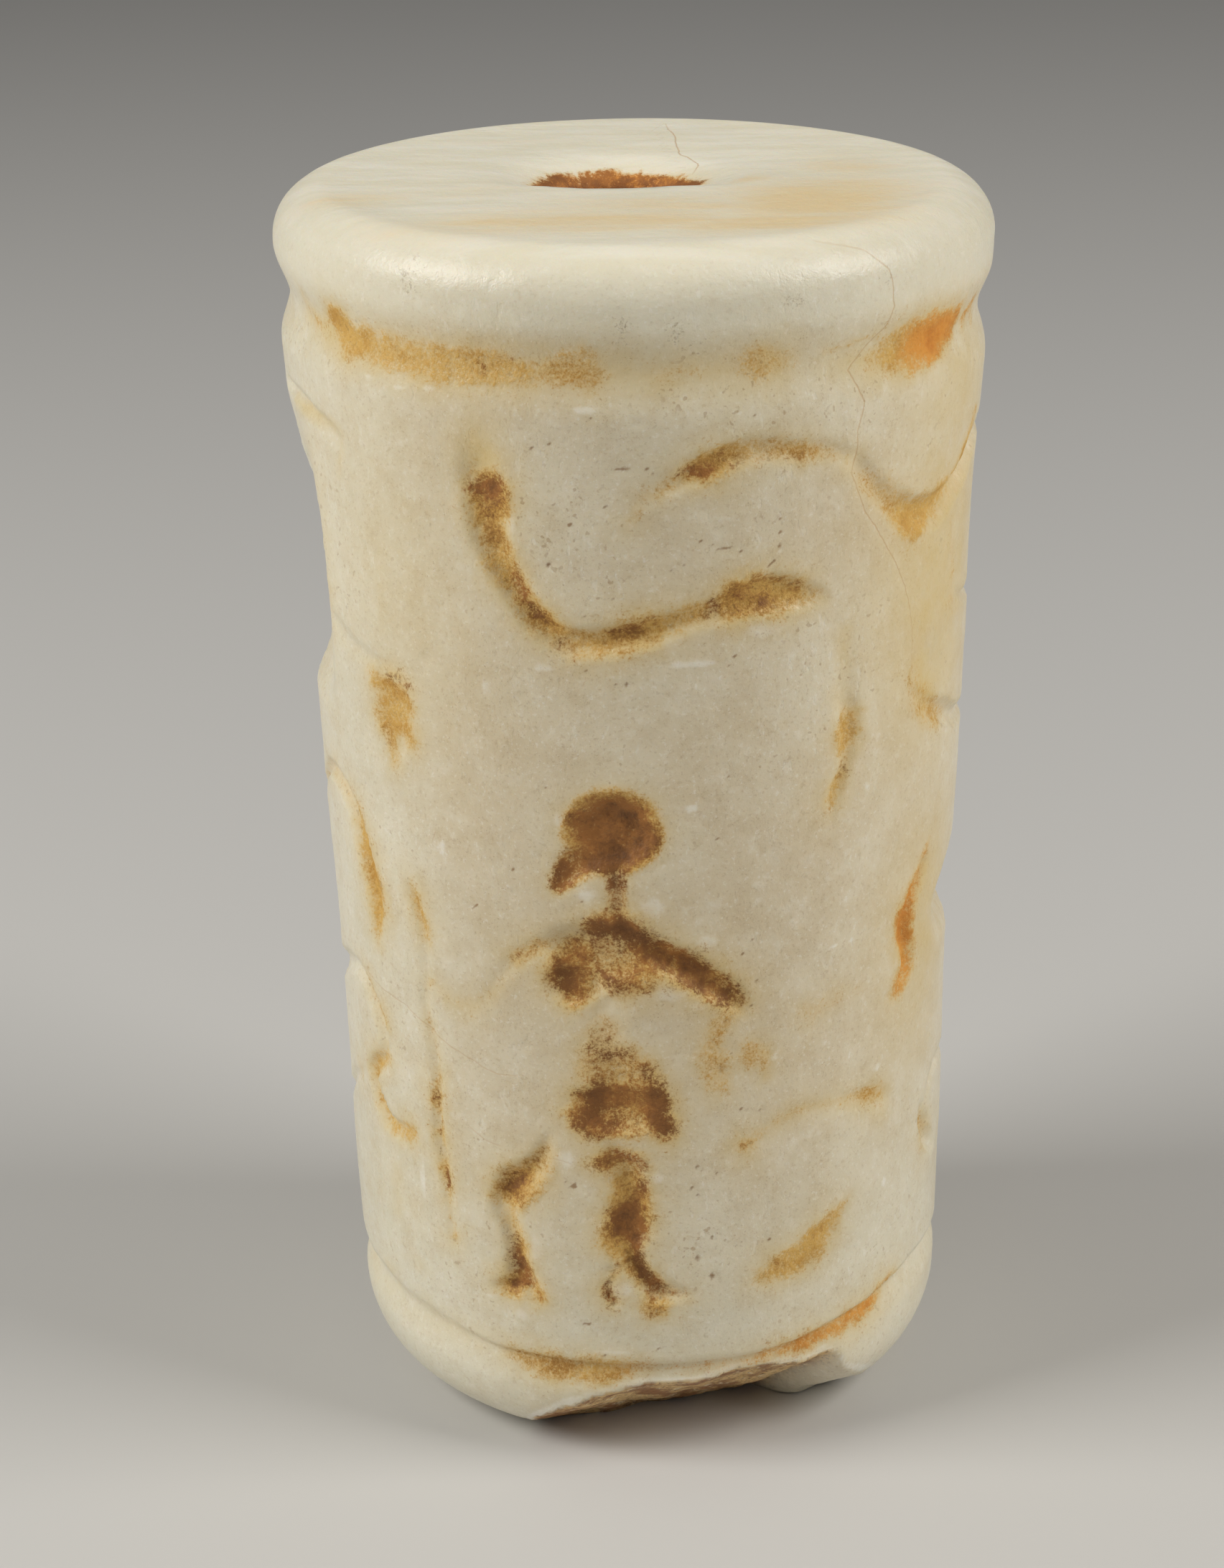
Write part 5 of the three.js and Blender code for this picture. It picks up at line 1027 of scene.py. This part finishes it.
    # cracks
    line = g.math("ABSOLUTE", g.plus(g.field("crack"), g.centred(ragged, 0.06)))
    crack = g.mul(g.math("SUBTRACT", 1.0, g.step(line, 0.0, 0.035)), g.field("crack_on"))
    colour = g.mix(g.mul(crack, 0.8), colour, srgb(196, 154, 100))

    # the break: tan and brown
    broken = g.mix(g.step(coarse, 0.42, 0.58), srgb(214, 178, 118), srgb(148, 98, 50))
    broken = g.mix(g.mul(g.step(ragged, 0.55, 0.66), 0.8), broken, srgb(232, 214, 176))
    broken = g.mix(g.mul(g.step(grainy, 0.52, 0.64), 0.7), broken, srgb(104, 64, 30))
    colour = g.mix(g.mul(chip, 0.94), colour, broken)
    g.put(shader.inputs["Base Color"], colour)

    # worn polish: glossier on the open stone, dull in the dirt and the break
    rough = g.plus(0.26, g.mul(coarse, 0.16))
    rough = g.plus(rough, g.mul(covered, 0.3))
    rough = g.plus(rough, g.mul(top, 0.12))
    rough = g.plus(rough, g.mul(chip, 0.32), clamp=True)
    g.put(shader.inputs["Roughness"], rough)
    shader.inputs["IOR"].default_value = 1.5
    shader.inputs["Subsurface Weight"].default_value = 0.25
    shader.inputs["Subsurface Radius"].default_value = (1.0, 0.72, 0.42)
    shader.inputs["Subsurface Scale"].default_value = 0.0007

    # fine surface: grain, scratches, crumbly dirt
    height = g.plus(g.mul(ragged, 0.7), g.mul(coarse, 0.6))
    height = g.math("SUBTRACT", height, g.mul(g.step(streaks, 0.62, 0.7), 0.12))
    height = g.plus(height, g.mul(g.mul(along_x, top), 0.6))
    height = g.plus(height, g.mul(g.mul(grainy, g.step(stain, 0.2, 0.7)), 1.0))
    height = g.plus(height, g.mul(g.mul(ragged, chip), 2.4))
    height = g.math("SUBTRACT", height, g.mul(crack, 0.2))
    bump = g.add("ShaderNodeBump")
    bump.inputs["Strength"].default_value = 0.6
    bump.inputs["Distance"].default_value = 0.00006
    g.put(bump.inputs["Height"], height)
    g.tree.links.new(bump.outputs[0], shader.inputs["Normal"])
    return material


seal = build_seal()
seal.data.materials.append(stone_material())
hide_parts("seal")
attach(seal, "root")


# ---------------------------------------------------------------- floor, light, camera

def floor_material():
    material = bpy.data.materials.new("floor")
    g = Graph(material)
    out = g.add("ShaderNodeOutputMaterial")
    shader = g.add("ShaderNodeBsdfPrincipled")
    g.tree.links.new(shader.outputs[0], out.inputs[0])
    shader.inputs["Base Color"].default_value = srgb(204, 202, 198)
    shader.inputs["Roughness"].default_value = 0.75
    return material


floor_mesh = bpy.data.meshes.new("floor")
floor_mesh.from_pydata([(-1.5, -1.5, 0), (1.5, -1.5, 0), (1.5, 1.5, 0), (-1.5, 1.5, 0)], [], [(0, 1, 2, 3)])
floor = bpy.data.objects.new("floor", floor_mesh)
floor_mesh.materials.append(floor_material())
bpy.context.scene.collection.objects.link(floor)


def area_light(name, place, aim, size, power, colour=(1, 1, 1)):
    light = bpy.data.lights.new(name, "AREA")
    light.shape = "RECTANGLE"
    light.size, light.size_y = size
    light.energy = power
    light.color = colour
    obj = bpy.data.objects.new(name, light)
    bpy.context.scene.collection.objects.link(obj)
    z = np.array(place, float) - np.array(aim, float)
    z /= np.linalg.norm(z)
    x = np.cross((0, 0, 1), z)
    x /= np.linalg.norm(x)
    y = np.cross(z, x)
    m = Matrix([[x[0], y[0], z[0], place[0]], [x[1], y[1], z[1], place[1]], [x[2], y[2], z[2], place[2]], [0, 0, 0, 1]])
    obj.matrix_world = m
    return obj


MIDDLE = (0, 0, 0.017)
area_light("light_left", (-0.196, -0.060, 0.165), MIDDLE, (0.12, 0.14), 0.475, (1.0, 0.99, 0.965))
area_light("light_right", (0.196, -0.060, 0.165), MIDDLE, (0.12, 0.14), 0.42, (1.0, 0.985, 0.955))

world = bpy.data.worlds.new("world")
world.use_nodes = True
world.node_tree.nodes["Background"].inputs["Color"].default_value = (0.96, 0.95, 0.94, 1)
world.node_tree.nodes["Background"].inputs["Strength"].default_value = 0.12
bpy.context.scene.world = world
bpy.context.scene.view_settings.view_transform = "Standard"

PITCH, ROLL = math.radians(21.244), math.radians(-1.091)
forward = np.array([0, math.cos(PITCH), -math.sin(PITCH)])
across = np.array([1.0, 0, 0])
down = np.array([0, -math.sin(PITCH), -math.cos(PITCH)])
right = math.cos(ROLL) * across - math.sin(ROLL) * down
up = -(math.sin(ROLL) * across + math.cos(ROLL) * down)
camera_data = bpy.data.cameras.new("camera")
camera_data.sensor_width = 36.0
camera_data.lens = 4800 / 2184 * 36.0
camera_data.clip_start, camera_data.clip_end = 0.001, 10.0
camera = bpy.data.objects.new("camera", camera_data)
bpy.context.scene.collection.objects.link(camera)
place = (-0.00080, -0.08568, 0.04965)
camera.matrix_world = Matrix([[right[0], up[0], -forward[0], place[0]], [right[1], up[1], -forward[1], place[1]],
                              [right[2], up[2], -forward[2], place[2]], [0, 0, 0, 1]])
bpy.context.scene.camera = camera

bpy.context.view_layer.update()
